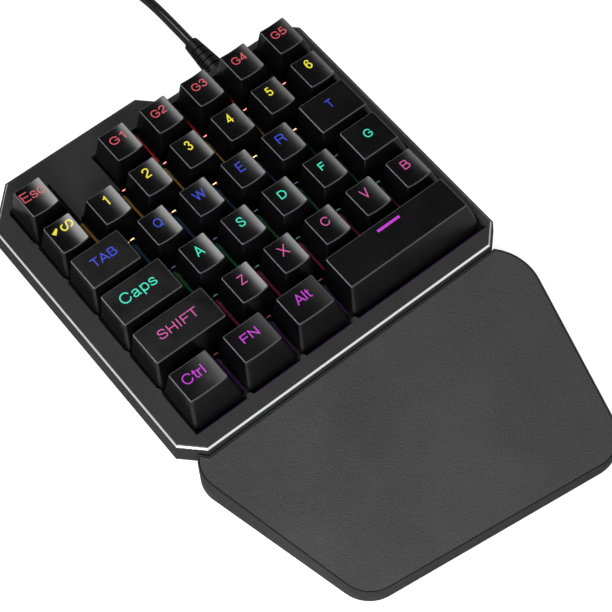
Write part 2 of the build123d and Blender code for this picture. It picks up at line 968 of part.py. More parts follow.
# Wrist rest
def rest_slope_cut(drop):
    """Everything above the rest's sloping top, lowered by a drop."""
    front = bezel_front - rest_right_depth
    rear = bezel_front
    slope = (rest_rear_height - rest_front_height) / (rear - front)
    far_rear = rear + rest_tuck + overrun
    far_front = front - overrun
    high_rear = rest_rear_height + slope * (far_rear - rear) - drop
    high_front = rest_front_height - slope * overrun - drop
    top = bezel_height + overrun
    points = ((far_front, high_front), (far_rear, high_rear), (far_rear, top), (far_front, top))
    side = Plane(origin=(-rest_left_reach - overrun, 0, 0), x_dir=(0, 1, 0), z_dir=(1, 0, 0))
    face = make_face(Polyline(*points, close=True))
    width = field_width + rest_left_reach + rest_right_reach + 2 * overrun
    return extrude(side * face, width)


def rest_footprint(inset):
    """The rest's outline less the case in front of which it stands."""
    case = grown(case_outline(), parting_offset + rest_case_clearance + inset)
    return grown_round(rest_outline(), -inset) - case


def grown_round(face, amount):
    """A rounded outline moved inwards or outwards."""
    return offset(face, amount) if amount else face


def rest_tab_space(x):
    """The recess under the case that a tab slides into."""
    gap = rest_tab_clearance
    half = rest_tab_width / 2 + gap
    rear = rest_tab_line() + rest_tab_length / 2 + gap
    low = (x - half, bezel_front - overrun, pad_drop - overrun)
    return box(low, (x + half, rear, pad_drop + rest_tab_thickness + gap))


def rest_tab_pocket(x):
    """The walls and roof round a tab's recess."""
    gap = rest_tab_clearance
    half = rest_tab_width / 2 + gap + rest_tab_roof
    rear = rest_tab_line() + rest_tab_length / 2 + gap + rest_tab_roof
    top = pad_drop + rest_tab_thickness + gap + rest_tab_roof
    return box((x - half, bezel_front, pad_drop), (x + half, rear, top))


def rest_tab(x):
    """A tab that reaches under the case to its screw."""
    half = rest_tab_width / 2
    rear = rest_tab_line() + rest_tab_length / 2
    low = (x - half, case_front - rest_tab_root, pad_drop)
    return box(low, (x + half, rear, pad_drop + rest_tab_thickness))


def wrist_rest_base():
    """The rest's hollow lower shell with a rim and ribs for the top plate, and three tabs."""
    inner = rest_footprint(rest_wall)
    seat = rest_footprint(rest_rim)
    base = prism(rest_footprint(0), pad_drop, bezel_height) - rest_slope_cut(0)
    hollow = prism(inner, floor_top, bezel_height)
    ledge = prism(seat, pad_drop, bezel_height)
    below_plate = rest_slope_cut(rest_plate_thickness)
    base -= ledge & below_plate
    base -= hollow - rest_ribs()
    for x, y in rest_screw_points():
        base += rest_tab(x)
    base -= [counterbored(x, y, floor_top) for x, y in rest_screw_points()]
    return base - rubber_pads()


def rest_ribs():
    """Upright ribs inside the rest, which carry the top plate."""
    count = int(field_width / rest_rib_spacing / 2)
    half = rest_rib_thickness / 2
    ribs = []
    for step in range(-count, count + 1):
        x = field_width / 2 + (step + 1 / 2) * rest_rib_spacing
        low = (x - half, bezel_front - rest_right_depth - overrun, pad_drop)
        ribs.append(box(low, (x + half, bezel_front, bezel_height)))
    return ribs


def wrist_rest_top():
    """The soft-touch plate that closes the rest."""
    plate = prism(rest_footprint(rest_rim + rest_seam), pad_drop, bezel_height)
    plate -= rest_slope_cut(0)
    return plate & rest_slope_cut(rest_plate_thickness)


# Strain relief and lead
def relief_wall():
    """The y just behind the case's rear wall, where the sleeve starts."""
    return field_rear + rear_border + parting_offset + relief_wall_gap


def relief_entry():
    """The hole in the rear wall for the relief's neck and the slot for its flange."""
    radius = relief_neck_diameter / 2 + relief_neck_clearance
    y = relief_wall()
    hole = Cylinder(radius, 2 * case_wall + overrun, rotation=(90, 0, 0))
    gap = relief_neck_clearance
    half = relief_flange_width / 2 + gap
    tall = relief_flange_height / 2 + gap
    inner = y - case_wall - overrun
    slot = box(
        (relief_place - half, inner, relief_height - tall),
        (relief_place + half, y - case_wall + gap, relief_height + tall),
    )
    return Pos(relief_place, y, relief_height) * hole + slot


def relief_notch():
    """The gap in the deck's rear edge for the relief's flange."""
    half = relief_flange_width / 2 + deck_fit
    front = relief_wall() - case_wall - 2 * relief_flange_thickness
    low = (relief_place - half, front, deck_underside - overrun)
    return box(low, (relief_place + half, relief_wall(), deck_height + overrun))


def relief_section(y, width, height):
    """An oval of the relief at one y."""
    plane = Plane(origin=(relief_place, y, relief_height), x_dir=(1, 0, 0), z_dir=(0, 1, 0))
    return plane * Ellipse(width / 2, height / 2)


def strain_relief():
    """A tapering ribbed sleeve with a neck through the wall and a flange inside."""
    wall_y = relief_wall()
    tip_y = wall_y + relief_length
    body = loft([
        relief_section(wall_y, relief_wide, relief_tall),
        relief_section(tip_y, relief_tip_diameter, relief_tip_diameter),
    ])
    step = relief_length * relief_ribbed_share / relief_rib_count
    groove = step * (1 - relief_rib_share)
    for index in range(relief_rib_count):
        low = wall_y + (index + 1) * step - groove
        at_share = (low + groove / 2 - wall_y) / relief_length
        width = relief_wide + (relief_tip_diameter - relief_wide) * at_share
        height = relief_tall + (relief_tip_diameter - relief_tall) * at_share
        outer = relief_section(low, width + overrun, height + overrun)
        inner = relief_section(low, width - 2 * relief_rib_depth, height - 2 * relief_rib_depth)
        body -= extrude(outer, groove) - extrude(inner, groove)
    neck_length = case_wall + relief_flange_thickness + relief_neck_clearance
    neck = Cylinder(relief_neck_diameter / 2, neck_length, rotation=(90, 0, 0))
    body += Pos(relief_place, wall_y - neck_length / 2, relief_height) * neck
    flange_y = wall_y - case_wall - relief_neck_clearance
    half = relief_flange_width / 2
    tall = relief_flange_height / 2
    body += box(
        (relief_place - half, flange_y - relief_flange_thickness, relief_height - tall),
        (relief_place + half, flange_y, relief_height + tall),
    )
    return body


def lead_points():
    """The free stretch: out of the relief's tip, down to the desk and on to the coil."""
    start = (relief_place, relief_wall() + relief_length, relief_height)
    return (start,) + lead_route


def corner_radii(points):
    """The largest smooth bend that each corner's shorter run allows."""
    radii = []
    for before, corner, after in zip(points, points[1:], points[2:]):
        arriving = Vector(*corner) - Vector(*before)
        leaving = Vector(*after) - Vector(*corner)
        turn = math.radians(arriving.get_angle(leaving))
        shorter = min(arriving.length, leaving.length)
        radii.append(lead_bend_share * shorter / math.tan(turn / 2))
    return radii


def lead_tube():
    """The free stretch as one tube of straight runs and tangent arcs."""
    points = lead_points()
    radii = corner_radii(points)
    path = FilletPolyline(*points, radius=radii)
    start = Plane(origin=points[0], z_dir=Vector(*points[1]) - Vector(*points[0]))
    tube = sweep(start * Circle(lead_diameter / 2), path=path)
    section = math.pi * (lead_diameter / 2) ** 2
    print("lead radii", [round(radius, 1) for radius in radii])
    print("lead length", round(path.length, 1), "volume", round(tube.volume, 1),
          "section times length", round(section * path.length, 1))
    return tube, path.length


def coil_centre():
    """The coil starts one diameter past the free stretch and turns to its right."""
    x, y, z = lead_route[-1]
    return x + coil_outer_radius, y + lead_diameter, z


def coil_nodes():
    """The coil at each half turn: a spiral in, a climb of one layer, and a spiral out."""
    centre_x, centre_y, low = coil_centre()
    half_turns = 2 * coil_layer_turns
    nodes = []
    for index in range(2 * half_turns):
        inward = min(index, 2 * half_turns - 1 - index)
        radius = coil_outer_radius - inward * coil_pitch / 2
        if index in (half_turns - 1, half_turns):
            radius -= coil_climb_inset
        side = -1 if index % 2 == 0 else 1
        height = low if index < half_turns else low + coil_rise
        point = (centre_x + side * radius, centre_y, height)
        nodes.append((Vector(*point), Vector(0, -side, 0)))
    return nodes


def half_turn(start, start_dir, end, end_dir):
    """Two equal tangent arcs that join two half-turn places, rising if they differ in height."""
    reach = (end - start).length / 2
    low_corner = start + start_dir * reach
    high_corner = end - end_dir * reach
    middle = (low_corner + high_corner) / 2
    first = TangentArc(start, middle, tangent=start_dir)
    second = TangentArc(middle, end, tangent=first % 1)
    return [first, second]


def tail_points(node, direction):
    """The stretch from the coil's last turn down to the plug."""
    drop = node.Z - plug_height / 2
    straight = node + direction * tail_end_straight
    low = straight + direction * tail_drop_length - Vector(0, 0, drop)
    return node, straight, low, low + direction * tail_end_straight


def coil():
    """The whole put-away length as one swept tube, with its tail into the plug."""
    nodes = coil_nodes()
    edges = []
    for (start, start_dir), (end, end_dir) in zip(nodes, nodes[1:]):
        edges += half_turn(start, start_dir, end, end_dir)
    direction = nodes[-1][1]
    tail_route = tail_points(*nodes[-1])
    tail_radii = corner_radii([tuple(point) for point in tail_route])
    first = nodes[0][0] - nodes[0][1] * lead_diameter
    tail = FilletPolyline(*tail_route, radius=tail_radii)
    path = Wire([Line(first, nodes[0][0])] + edges + list(tail.edges()))
    start_plane = Plane(origin=first, z_dir=nodes[0][1])
    tube = sweep(start_plane * Circle(lead_diameter / 2), path=path)
    print("coil length", round(path.length, 1), "tail radii", [round(r, 1) for r in tail_radii])
    print("coil volume over section times length",
          round(tube.volume / (math.pi * (lead_diameter / 2) ** 2 * path.length), 4))
    print("coil least gap to itself", round(least_gap(path), 2))
    return tube, tail_route[-1], direction, path.length


def least_gap(path):
    """The least free space between two turns, measured on points of the centre line."""
    step = lead_diameter / 4
    count = int(path.length / step)
    places = [path @ (index / count) for index in range(count + 1)]
    skip = int(math.pi * lead_diameter / step)
    least = path.length
    for index, place in enumerate(places):
        for other in places[index + skip:]:
            least = min(least, (other - place).length)
    return least - lead_diameter


def coil_tie():
    """A flat strap closed round the bundle of turns."""
    centre_x, centre_y, low_axis = coil_centre()
    outer = coil_outer_radius - coil_pitch / 4 + lead_diameter / 2
    inner = outer - (coil_layer_turns - 1) * coil_pitch - lead_diameter - coil_climb_inset / 2
    low = low_axis - lead_diameter / 2
    high = low_axis + coil_rise + lead_diameter / 2
    wall = tie_gap + tie_thickness
    half = tie_width / 2
    reach = half + coil_pitch / 4 + coil_climb_inset / 2
    near = centre_y + math.sqrt(inner ** 2 - reach ** 2)
    far = centre_y + outer
    bundle = box((centre_x - half, near - wall, low - wall),
                 (centre_x + half, far + wall, high + wall))
    inside = box((centre_x - tie_width, near - tie_gap, low - tie_gap),
                 (centre_x + tie_width, far + tie_gap, high + tie_gap))
    return bundle - inside


# Plug
def plug_frame(end, direction):
    """A plane at the tail's end that looks along the plug."""
    return Plane(origin=end, x_dir=(1, 0, 0), z_dir=direction)


def plug_body(end, direction):
    """The moulded grip, its sleeve, and the pocket for the metal shell."""
    frame = plug_frame(end, direction)
    sleeve = extrude(Circle(plug_sleeve_diameter / 2), plug_sleeve_length)
    grip = extrude(RectangleRounded(plug_width, plug_height, plug_corner), plug_length)
    body = sleeve + Pos(0, 0, plug_sleeve_length) * grip
    pocket = extrude(Rectangle(shell_width, shell_height), shell_inside + overrun)
    front = plug_sleeve_length + plug_length
    body -= Pos(0, 0, front - shell_inside) * pocket
    return frame * body


def plug_shell(end, direction):
    """The metal shell with its plastic tongue."""
    frame = plug_frame(end, direction)
    start = plug_sleeve_length + plug_length - shell_inside
    shell = extrude(Rectangle(shell_width, shell_height), shell_length)
    inner_width = shell_width - 2 * shell_wall
    inner_height = shell_height - 2 * shell_wall
    hollow = extrude(Rectangle(inner_width, inner_height), shell_length)
    shell -= Pos(0, 0, shell_inside) * hollow
    tongue = box(
        (-inner_width / 2, -inner_height / 2, shell_inside),
        (inner_width / 2, tongue_height - inner_height / 2, shell_length - shell_wall),
    )
    return [frame * Pos(0, 0, start) * piece for piece in (shell, tongue)]


# Assembly
def build_nodes():
    """Every piece of the keyboard in the drawing frame, by name."""
    nodes = {}
    for name, row, share, x, y in keys:
        nodes["key_" + name] = key(name, row, share, x, y)
    nodes["top_cover"] = top_cover()
    nodes["trim_band"] = trim_band()
    nodes["key_deck"] = key_deck()
    nodes["shift_wire"] = stabiliser_wire("shift")
    nodes["space_wire"] = stabiliser_wire("space")
    nodes["rubber_dome_sheet"] = dome_sheet()
    nodes["switch_membrane"] = membrane()
    nodes["backing_plate"] = backing_plate()
    nodes["light_board"] = light_board()
    nodes["controller_board"] = controller_board()
    nodes["bottom_case"] = bottom_case()
    tip = parting_height + screw_bite - screw_hole_clearance
    nodes["case_screws"] = screw_group(case_screw_points(), screw_head_low, tip)
    deck_tip = deck_underside + stack_bite - screw_hole_clearance
    nodes["stack_screws"] = screw_group(stack_points(), screw_head_low, deck_tip)
    rest_tip = pad_drop + rest_tab_thickness + rest_screw_bite - screw_hole_clearance
    nodes["wrist_rest_screws"] = screw_group(rest_screw_points(), screw_head_low, rest_tip)
    nodes["wrist_rest_base"] = wrist_rest_base()
    nodes["wrist_rest_top"] = wrist_rest_top()
    nodes["rubber_pads"] = rubber_pads()
    left, right = foot_places()
    nodes["left_foot"] = folding_foot(*left)
    nodes["right_foot"] = folding_foot(*right)
    nodes["strain_relief"] = strain_relief()
    nodes["lead"], free_length = lead_tube()
    nodes["lead_coil"], end, direction, coil_length = coil()
    nodes["lead_tie"] = coil_tie()
    nodes["plug_body"] = plug_body(end, direction)
    nodes["plug_shell"] = plug_shell(end, direction)
    print("whole lead", round(free_length + coil_length, 1))
    return nodes


def model_centre():
    """The middle of the keyboard's footprint, from its two outlines."""
    case = grown(case_outline(), parting_offset).bounding_box()
    rest = rest_footprint(0).bounding_box()
    x_low = min(case.min.X, rest.min.X)
    x_high = max(case.max.X, rest.max.X)
    y_low = min(case.min.Y, rest.min.Y)
    y_high = max(case.max.Y, rest.max.Y)
    return (x_low + x_high) / 2, (y_low + y_high) / 2


def main():
    os.makedirs("parts", exist_ok=True)
    centre_x, centre_y = model_centre()
    print("drawing frame to origin", round(-centre_x, 4), round(-centre_y, 4))
    shift = Pos(-centre_x, -centre_y, 0)
    for name, shape in build_nodes().items():
        pieces = shape if isinstance(shape, list) else [shape]
        solids = [shift * solid for piece in pieces for solid in piece.solids()]
        whole = solids[0] if len(solids) == 1 else Compound(children=solids)
        export_step(whole, "parts/" + name + ".step")


main()
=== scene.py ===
"""Dresses a one-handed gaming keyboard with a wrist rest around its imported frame.

Lengths are in millimetres in the drawing frame of the key field, and turned into metres where a mesh is made.
"""

import logging
import math
from dataclasses import dataclass, field
from enum import Enum
from functools import cache
from itertools import accumulate
from typing import Iterable, Sequence

import bmesh
import bpy
from mathutils import Matrix, Vector


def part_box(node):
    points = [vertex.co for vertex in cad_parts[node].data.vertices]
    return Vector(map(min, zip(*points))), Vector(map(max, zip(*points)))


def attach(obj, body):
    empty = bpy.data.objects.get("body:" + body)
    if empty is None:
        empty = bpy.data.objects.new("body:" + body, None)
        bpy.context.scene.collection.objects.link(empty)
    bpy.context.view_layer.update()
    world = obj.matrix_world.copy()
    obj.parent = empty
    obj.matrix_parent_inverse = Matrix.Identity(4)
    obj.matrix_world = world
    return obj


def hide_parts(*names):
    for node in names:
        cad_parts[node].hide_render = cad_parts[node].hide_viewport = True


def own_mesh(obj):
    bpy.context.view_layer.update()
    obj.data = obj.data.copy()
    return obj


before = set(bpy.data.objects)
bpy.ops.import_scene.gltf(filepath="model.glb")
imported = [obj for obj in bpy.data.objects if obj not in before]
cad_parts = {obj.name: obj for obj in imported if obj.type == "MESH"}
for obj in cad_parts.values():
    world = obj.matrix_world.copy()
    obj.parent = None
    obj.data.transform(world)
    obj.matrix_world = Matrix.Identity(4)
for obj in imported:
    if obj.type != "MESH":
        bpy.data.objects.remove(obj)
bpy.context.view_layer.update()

logging.basicConfig(level=logging.INFO, format="%(message)s")
log = logging.getLogger("keyboard")

Point = tuple[float, float, float]
Flat = tuple[float, float]
Colour = tuple[float, float, float]
Ring = list[bmesh.types.BMVert]
Socket = bpy.types.NodeSocket
Piece = bpy.types.Object
Material = bpy.types.Material

MM = 0.001
PITCH = 19.05
CAP_GAP = 1.0
FIELD_COLUMNS = 7
KEY_BASE = 16.0
ROW_HEIGHTS = (12.0, 10.75, 10.55, 9.85, 9.6, 10.7)
ROW_LEANS = (1.6, 1.8, 2.1, 2.6, 2.4, 1.6)
FRONT_ROW_REACH = 1.4
WALL_SLOPE = 3.4
TOP_DEPTH = 13.3
FLAT_EXTRA_DEPTH = 1.6
KEY_ROWS = (
    (("esc", 1.0), (None, 1.0), ("g1", 1.0), ("g2", 1.0), ("g3", 1.0), ("g4", 1.0), ("g5", 1.0)),
    (("backtick", 1.0), ("1", 1.0), ("2", 1.0), ("3", 1.0), ("4", 1.0), ("5", 1.0), ("6", 1.0)),
    (("tab", 1.5), ("q", 1.0), ("w", 1.0), ("e", 1.0), ("r", 1.0), ("t", 1.5)),
    (("caps", 1.75), ("a", 1.0), ("s", 1.0), ("d", 1.0), ("f", 1.0), ("g", 1.25)),
    (("shift", 2.0), ("z", 1.0), ("x", 1.0), ("c", 1.0), ("v", 1.0), ("b", 1.0)),
    (("ctrl", 1.25), ("fn", 1.25), ("alt", 1.25), ("space", 3.25)),
)
WIRE_HALF_SPANS = {"shift": 11.9, "space": 22.0}
FLAT_KEYS = ("tab", "caps", "shift", "t", "g", "space")
LAST_ROW = len(KEY_ROWS) - 1
WHITE = (1.0, 1.0, 1.0)
BLACK = (0.0, 0.0, 0.0)
DUST_COLOUR = (0.3, 0.29, 0.27)


@dataclass(frozen=True)
class RowLight:
    """The lights and the ink of one row.

    Attributes:
        title: The row's name.
        mark: The colour of its marks.
        pen: The width of their strokes.
        glow: The colour of its lit fins and sparks.
        fin: The strength of the fins.
        spark: The strength of the sparks.
        nudge: How far the sparks stand from the middle of their gaps.
    """

    title: str
    mark: Colour
    pen: float
    glow: Colour
    fin: float
    spark: float = 0.0
    nudge: Flat = (0.95, -0.15)


ROW_LIGHTS = (
    RowLight("red", (0.54, 0.065, 0.09), 0.45, (1.0, 0.02, 0.015), 0.34, 3.0, (1.65, 0.0)),
    RowLight("gold", (0.72, 0.65, 0.03), 0.55, (1.0, 0.58, 0.07), 0.13, 3.0),
    RowLight("blue", (0.02, 0.04, 0.47), 0.5, (0.02, 0.22, 0.55), 0.07, 0.35),
    RowLight("mint", (0.03, 0.63, 0.43), 0.5, (0.03, 0.6, 0.14), 0.07, 0.35),
    RowLight("pink", (0.57, 0.075, 0.31), 0.4, (0.85, 0.03, 0.12), 0.10, 0.25),
    RowLight("magenta", (0.46, 0.027, 0.54), 0.45, (0.42, 0.02, 0.75), 0.05),
)


@dataclass(frozen=True)
class Place:
    """Turns drawing millimetres into metres in the frame."""

    x_shift: float
    y_shift: float

    def at(self, x: float, y: float, z: float) -> Vector:
        """Returns one drawing point in metres in the frame."""
        return Vector(((x + self.x_shift) * MM, (y + self.y_shift) * MM, z * MM))


def find_place() -> Place:
    """Reads the drawing frame's shift from the escape key's packed place.

    Returns:
        The shift from drawing millimetres to the frame.
    """
    low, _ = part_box("key_esc")
    half_gap = CAP_GAP / 2
    return Place(low.x / MM - half_gap, low.y / MM + PITCH / 2 - half_gap)


PLACE = find_place()


# Meshes
def link(made: Piece) -> Piece:
    """Puts an object in the scene and returns it."""
    bpy.context.scene.collection.objects.link(made)
    return made


def add_piece(name: str, mesh: bpy.types.Mesh, material: Material | None, sharp: float | None = 32.0) -> Piece:
    """Links a mesh as a piece with smooth shading between its hard edges.

    Args:
        name: The piece's name.
        mesh: Its mesh, already in place.
        material: What it is made of, or None where the mesh already says.
        sharp: The angle in degrees past which an edge stays hard, or None for flat faces.

    Returns:
        The new object.
    """
    mesh.name = name
    if material is not None:
        mesh.materials.clear()
        mesh.materials.append(material)
    if sharp is not None:
        mesh.polygons.foreach_set("use_smooth", [True] * len(mesh.polygons))
        mesh.set_sharp_from_angle(angle=math.radians(sharp))
    return link(bpy.data.objects.new(name, mesh))


def declare(made: Piece, slot: str, body: str, *nodes: str) -> Piece:
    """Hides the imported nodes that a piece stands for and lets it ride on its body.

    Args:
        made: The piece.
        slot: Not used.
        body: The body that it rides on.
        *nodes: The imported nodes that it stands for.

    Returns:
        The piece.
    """
    if nodes:
        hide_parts(*nodes)
    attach(made, body)
    return made


class Shell:
    """Collects the rings and faces of one piece's mesh."""

    def __init__(self) -> None:
        """Starts an empty mesh."""
        self.bm = bmesh.new()

    def ring(self, points: Iterable[Vector]) -> Ring:
        """Adds one ring of points and returns its vertices."""
        return [self.bm.verts.new(point) for point in points]

    def bridge(self, low: Ring, high: Ring) -> None:
        """Joins two rings of one length with a band of faces."""
        for index, after in zip(range(len(low)), [*range(1, len(low)), 0]):
            self.bm.faces.new((low[index], low[after], high[after], high[index]))

    def loft(self, rings: Sequence[Ring]) -> None:
        """Joins each ring to the next."""
        for low, high in zip(rings, rings[1:]):
            self.bridge(low, high)

    def fan(self, ring: Ring, centre: Vector) -> None:
        """Closes a ring with triangles round one middle point.

        Args:
            ring: The ring.
            centre: The middle point in metres.
        """
        middle = self.bm.verts.new(centre)
        for vertex, after in zip(ring, ring[1:] + ring[:1]):
            self.bm.faces.new((vertex, after, middle))

    def block(self, low: Vector, high: Vector, edge: float = 0.0) -> None:
        """Adds a closed box with slightly rounded edges.

        Args:
            low: Its lowest corner in metres.
            high: Its highest corner in metres.
            edge: The rounding of its edges in metres, or zero for none.
        """
        made = bmesh.ops.create_cube(self.bm, size=1.0)["verts"]
        middle = (low + high) / 2
        for vertex in made:
            vertex.co = Vector(middle[i] + vertex.co[i] * (high[i] - low[i]) for i in range(3))
        if edge:
            edges = list(dict.fromkeys(e for vertex in made for e in vertex.link_edges))
            bmesh.ops.bevel(self.bm, geom=edges, offset=edge, segments=2, affect="EDGES", profile=0.5)

    def finish(self, name: str, material: Material, sharp: float = 32.0) -> Piece:
        """Turns what was collected into a piece.

        Args:
            name: The piece's name.
            material: What it is made of.
            sharp: The angle in degrees past which an edge stays hard.

        Returns:
            The new object.
        """
        bmesh.ops.recalc_face_normals(self.bm, faces=self.bm.faces)
        mesh = bpy.data.meshes.new(name)
        self.bm.to_mesh(mesh)
        self.bm.free()
        return add_piece(name, mesh, material, sharp)


def rounded_rectangle(width: float, depth: float, corner: float, middle: Flat, across: int) -> list[Flat]:
    """The points of a rounded rectangle, anticlockwise from its front right corner.

    Args:
        width: Its size along x.
        depth: Its size along y.
        corner: The radius of its corners.
        middle: The x and y of its middle.
        across: Faces along each side that runs in x.

    Returns:
        The points in drawing millimetres.
    """
    corner_steps, side_steps = 5, 4
    half_x, half_y = width / 2 - corner, depth / 2 - corner
    arcs = []
    for turn, (side_x, side_y) in enumerate(((1, -1), (1, 1), (-1, 1), (-1, -1))):
        angles = [math.radians(90.0 * turn - 90.0 + 90.0 * step / corner_steps) for step in range(corner_steps + 1)]
        arcs.append([(middle[0] + side_x * half_x + corner * math.cos(angle),
                      middle[1] + side_y * half_y + corner * math.sin(angle)) for angle in angles])
    points = []
    for arc, after, steps in zip(arcs, arcs[1:] + arcs[:1], (side_steps, across) * 2):
        (x, y), (next_x, next_y) = arc[-1], after[0]
        points += arc
        points += [(x + (next_x - x) * step / steps, y + (next_y - y) * step / steps) for step in range(1, steps)]
    return points


# Node trees
class Nodes:
    """Adds nodes to a tree and joins them."""

    def __init__(self, tree: bpy.types.NodeTree) -> None:
        """Keeps the tree."""
        self.tree = tree

    def feed(self, node: bpy.types.Node, inputs: dict[int | str, object]) -> None:
        """Gives a node's inputs what they take.

        Args:
            node: The node.
            inputs: By name or number, another node's socket, a colour or a plain value.
        """
        for name, value in inputs.items():
            target = node.inputs[name]
            if isinstance(value, Socket):
                self.tree.links.new(value, target)
            else:
                target.default_value = (*value, 1.0) if target.type == "RGBA" else value

    def put(self, kind: str, inputs: dict[int | str, object] | None = None, **settings: object) -> bpy.types.Node:
        """Adds a node.

        Args:
            kind: Its type.
            inputs: What its inputs take.
            **settings: Its other settings.

        Returns:
            The node.
        """
        made = self.tree.nodes.new(kind)
        for name, value in settings.items():
            setattr(made, name, value)
        self.feed(made, inputs or {})
        return made

    def maths(self, operation: str, *values: object) -> Socket:
        """Adds a Math node on sockets or numbers and returns its result."""
        return self.put("ShaderNodeMath", dict(enumerate(values)), operation=operation).outputs[0]

    def blend(self, share: Socket, first: object, second: object) -> Socket:
        """Mixes two colours by a share and returns the result."""
        return self.put("ShaderNodeMix", {0: share, 6: first, 7: second}, data_type="RGBA").outputs[2]

    def spread(
        self, value: Socket, low: float, high: float, start: float = 0.0, end: float = 1.0, kind: str = "LINEAR"
    ) -> Socket:
        """Maps a value from one range to another.

        Args:
            value: The value.
            low: Where its range starts.
            high: Where its range ends.
            start: The result at the start.
            end: The result at the end.
            kind: How the result runs between them.

        Returns:
            The result.
        """
        inputs = {"Value": value, "From Min": low, "From Max": high, "To Min": start, "To Max": end}
        return self.put("ShaderNodeMapRange", inputs, interpolation_type=kind).outputs["Result"]

    def place(self, kind: str = "Object") -> Socket:
        """Returns texture coordinates of one kind."""
        return self.put("ShaderNodeTexCoord").outputs[kind]

    def height(self, vector: Socket) -> Socket:
        """Returns the z of a vector."""
        return self.put("ShaderNodeSeparateXYZ", {0: vector}).outputs["Z"]

    def noise(self, scale: object, detail: float = 2.0, place: Socket | None = None) -> Socket:
        """Adds a noise, on object coordinates where no other are given, and returns its value."""
        inputs = {"Vector": place or self.place(), "Scale": scale, "Detail": detail}
        return self.put("ShaderNodeTexNoise", inputs).outputs["Fac"]


class Group(Nodes):
    """A shared node group with named inputs and outputs."""

    def __init__(self, name: str, kind: str = "ShaderNodeTree") -> None:
        """Starts an empty group with its two ends."""
        super().__init__(bpy.data.node_groups.new(name, kind))
        self.inlet = self.put("NodeGroupInput")
        self.outlet = self.put("NodeGroupOutput")

    def take(self, kind: str, *names: str) -> list[Socket]:
        """Adds named inputs.

        Args:
            kind: What they carry.
            *names: Their names.

        Returns:
            Their sockets inside the group.
        """
        for name in names:
            self.tree.interface.new_socket(name, in_out="INPUT", socket_type="NodeSocket" + kind)
        return [self.inlet.outputs[name] for name in names]

    def give(self, kind: str, name: str, source: Socket) -> None:
        """Adds a named output and joins it to a socket."""
        self.tree.interface.new_socket(name, in_out="OUTPUT", socket_type="NodeSocket" + kind)
        self.tree.links.new(source, self.outlet.inputs[name])


@cache
def grain_group() -> bpy.types.NodeTree:
    """The fine spark-eroded grain of moulded plastic.

    Returns:
        A group that gives a height from zero to one.
    """
    group = Group("moulded_grain")
    scale, = group.take("Float", "Scale")
    fine = group.noise(scale, 3.0)
    coarse = group.noise(group.maths("MULTIPLY", scale, 0.31))
    height = group.maths("ADD", group.maths("MULTIPLY", fine, 0.7), group.maths("MULTIPLY", coarse, 0.3))
    group.give("Float", "Height", height)
    return group.tree


@cache
def brushed_group() -> bpy.types.NodeTree:
    """Fine lines along x, as rolled sheet metal has.

    Returns:
        A group that gives a height from zero to one.
    """
    group = Group("rolled_lines")
    scale, = group.take("Float", "Scale")
    stretch = group.put("ShaderNodeMapping", {"Scale": (0.04, 1.0, 1.0), "Vector": group.place()})
    group.give("Float", "Height", group.noise(scale, place=stretch.outputs[0]))
    return group.tree


@cache
def handling_group() -> bpy.types.NodeTree:
    """Slow drift of colour, settled dust on upward faces, and roughness that hands have evened.

    Returns:
        A group that gives a colour and a roughness.
    """
    group = Group("handled_surface")
    colour, drift = group.take("Color", "Colour", "Drift Colour")
    dust, roughness, polish = group.take("Float", "Dust", "Roughness", "Polish")
    tint = group.blend(group.spread(group.noise(42.0, 3.0), 0.35, 0.65), colour, drift)
    upward = group.spread(group.height(group.put("ShaderNodeNewGeometry").outputs["Normal"]), 0.6, 1.0)
    specks = group.spread(group.noise(1400.0, 4.0), 0.56, 0.72)
    veil = group.maths("MULTIPLY", upward, group.maths("MULTIPLY", specks, dust))
    group.give("Color", "Colour", group.blend(veil, tint, DUST_COLOUR))
    rubbed = group.maths("SUBTRACT", group.spread(group.noise(130.0, 3.0), 0.3, 0.7), 0.5)
    group.give("Float", "Roughness", group.maths("ADD", roughness, group.maths("MULTIPLY", rubbed, polish)))
    return group.tree


@cache
def light_group() -> bpy.types.NodeTree:
    """Light that is a little uneven and fades below a height.

    Returns:
        A group that gives a colour.
    """
    group = Group("uneven_light")
    colour, dim = group.take("Color", "Colour", "Dim Colour")
    dark_at, lit_at = group.take("Float", "Dark Height", "Lit Height")
    lit = group.spread(group.height(group.place()), dark_at, lit_at)
    group.give("Color", "Colour", group.blend(lit, BLACK, group.blend(group.noise(900.0), dim, colour)))
    return group.tree


def blank_material(name: str) -> tuple[Material, Nodes, bpy.types.Node]:
    """Starts a material.

    Args:
        name: What it is called.

    Returns:
        The material, its nodes and its Principled shader.
    """
    made = bpy.data.materials.new(name)
    made.use_nodes = True
    return made, Nodes(made.node_tree), made.node_tree.nodes["Principled BSDF"]


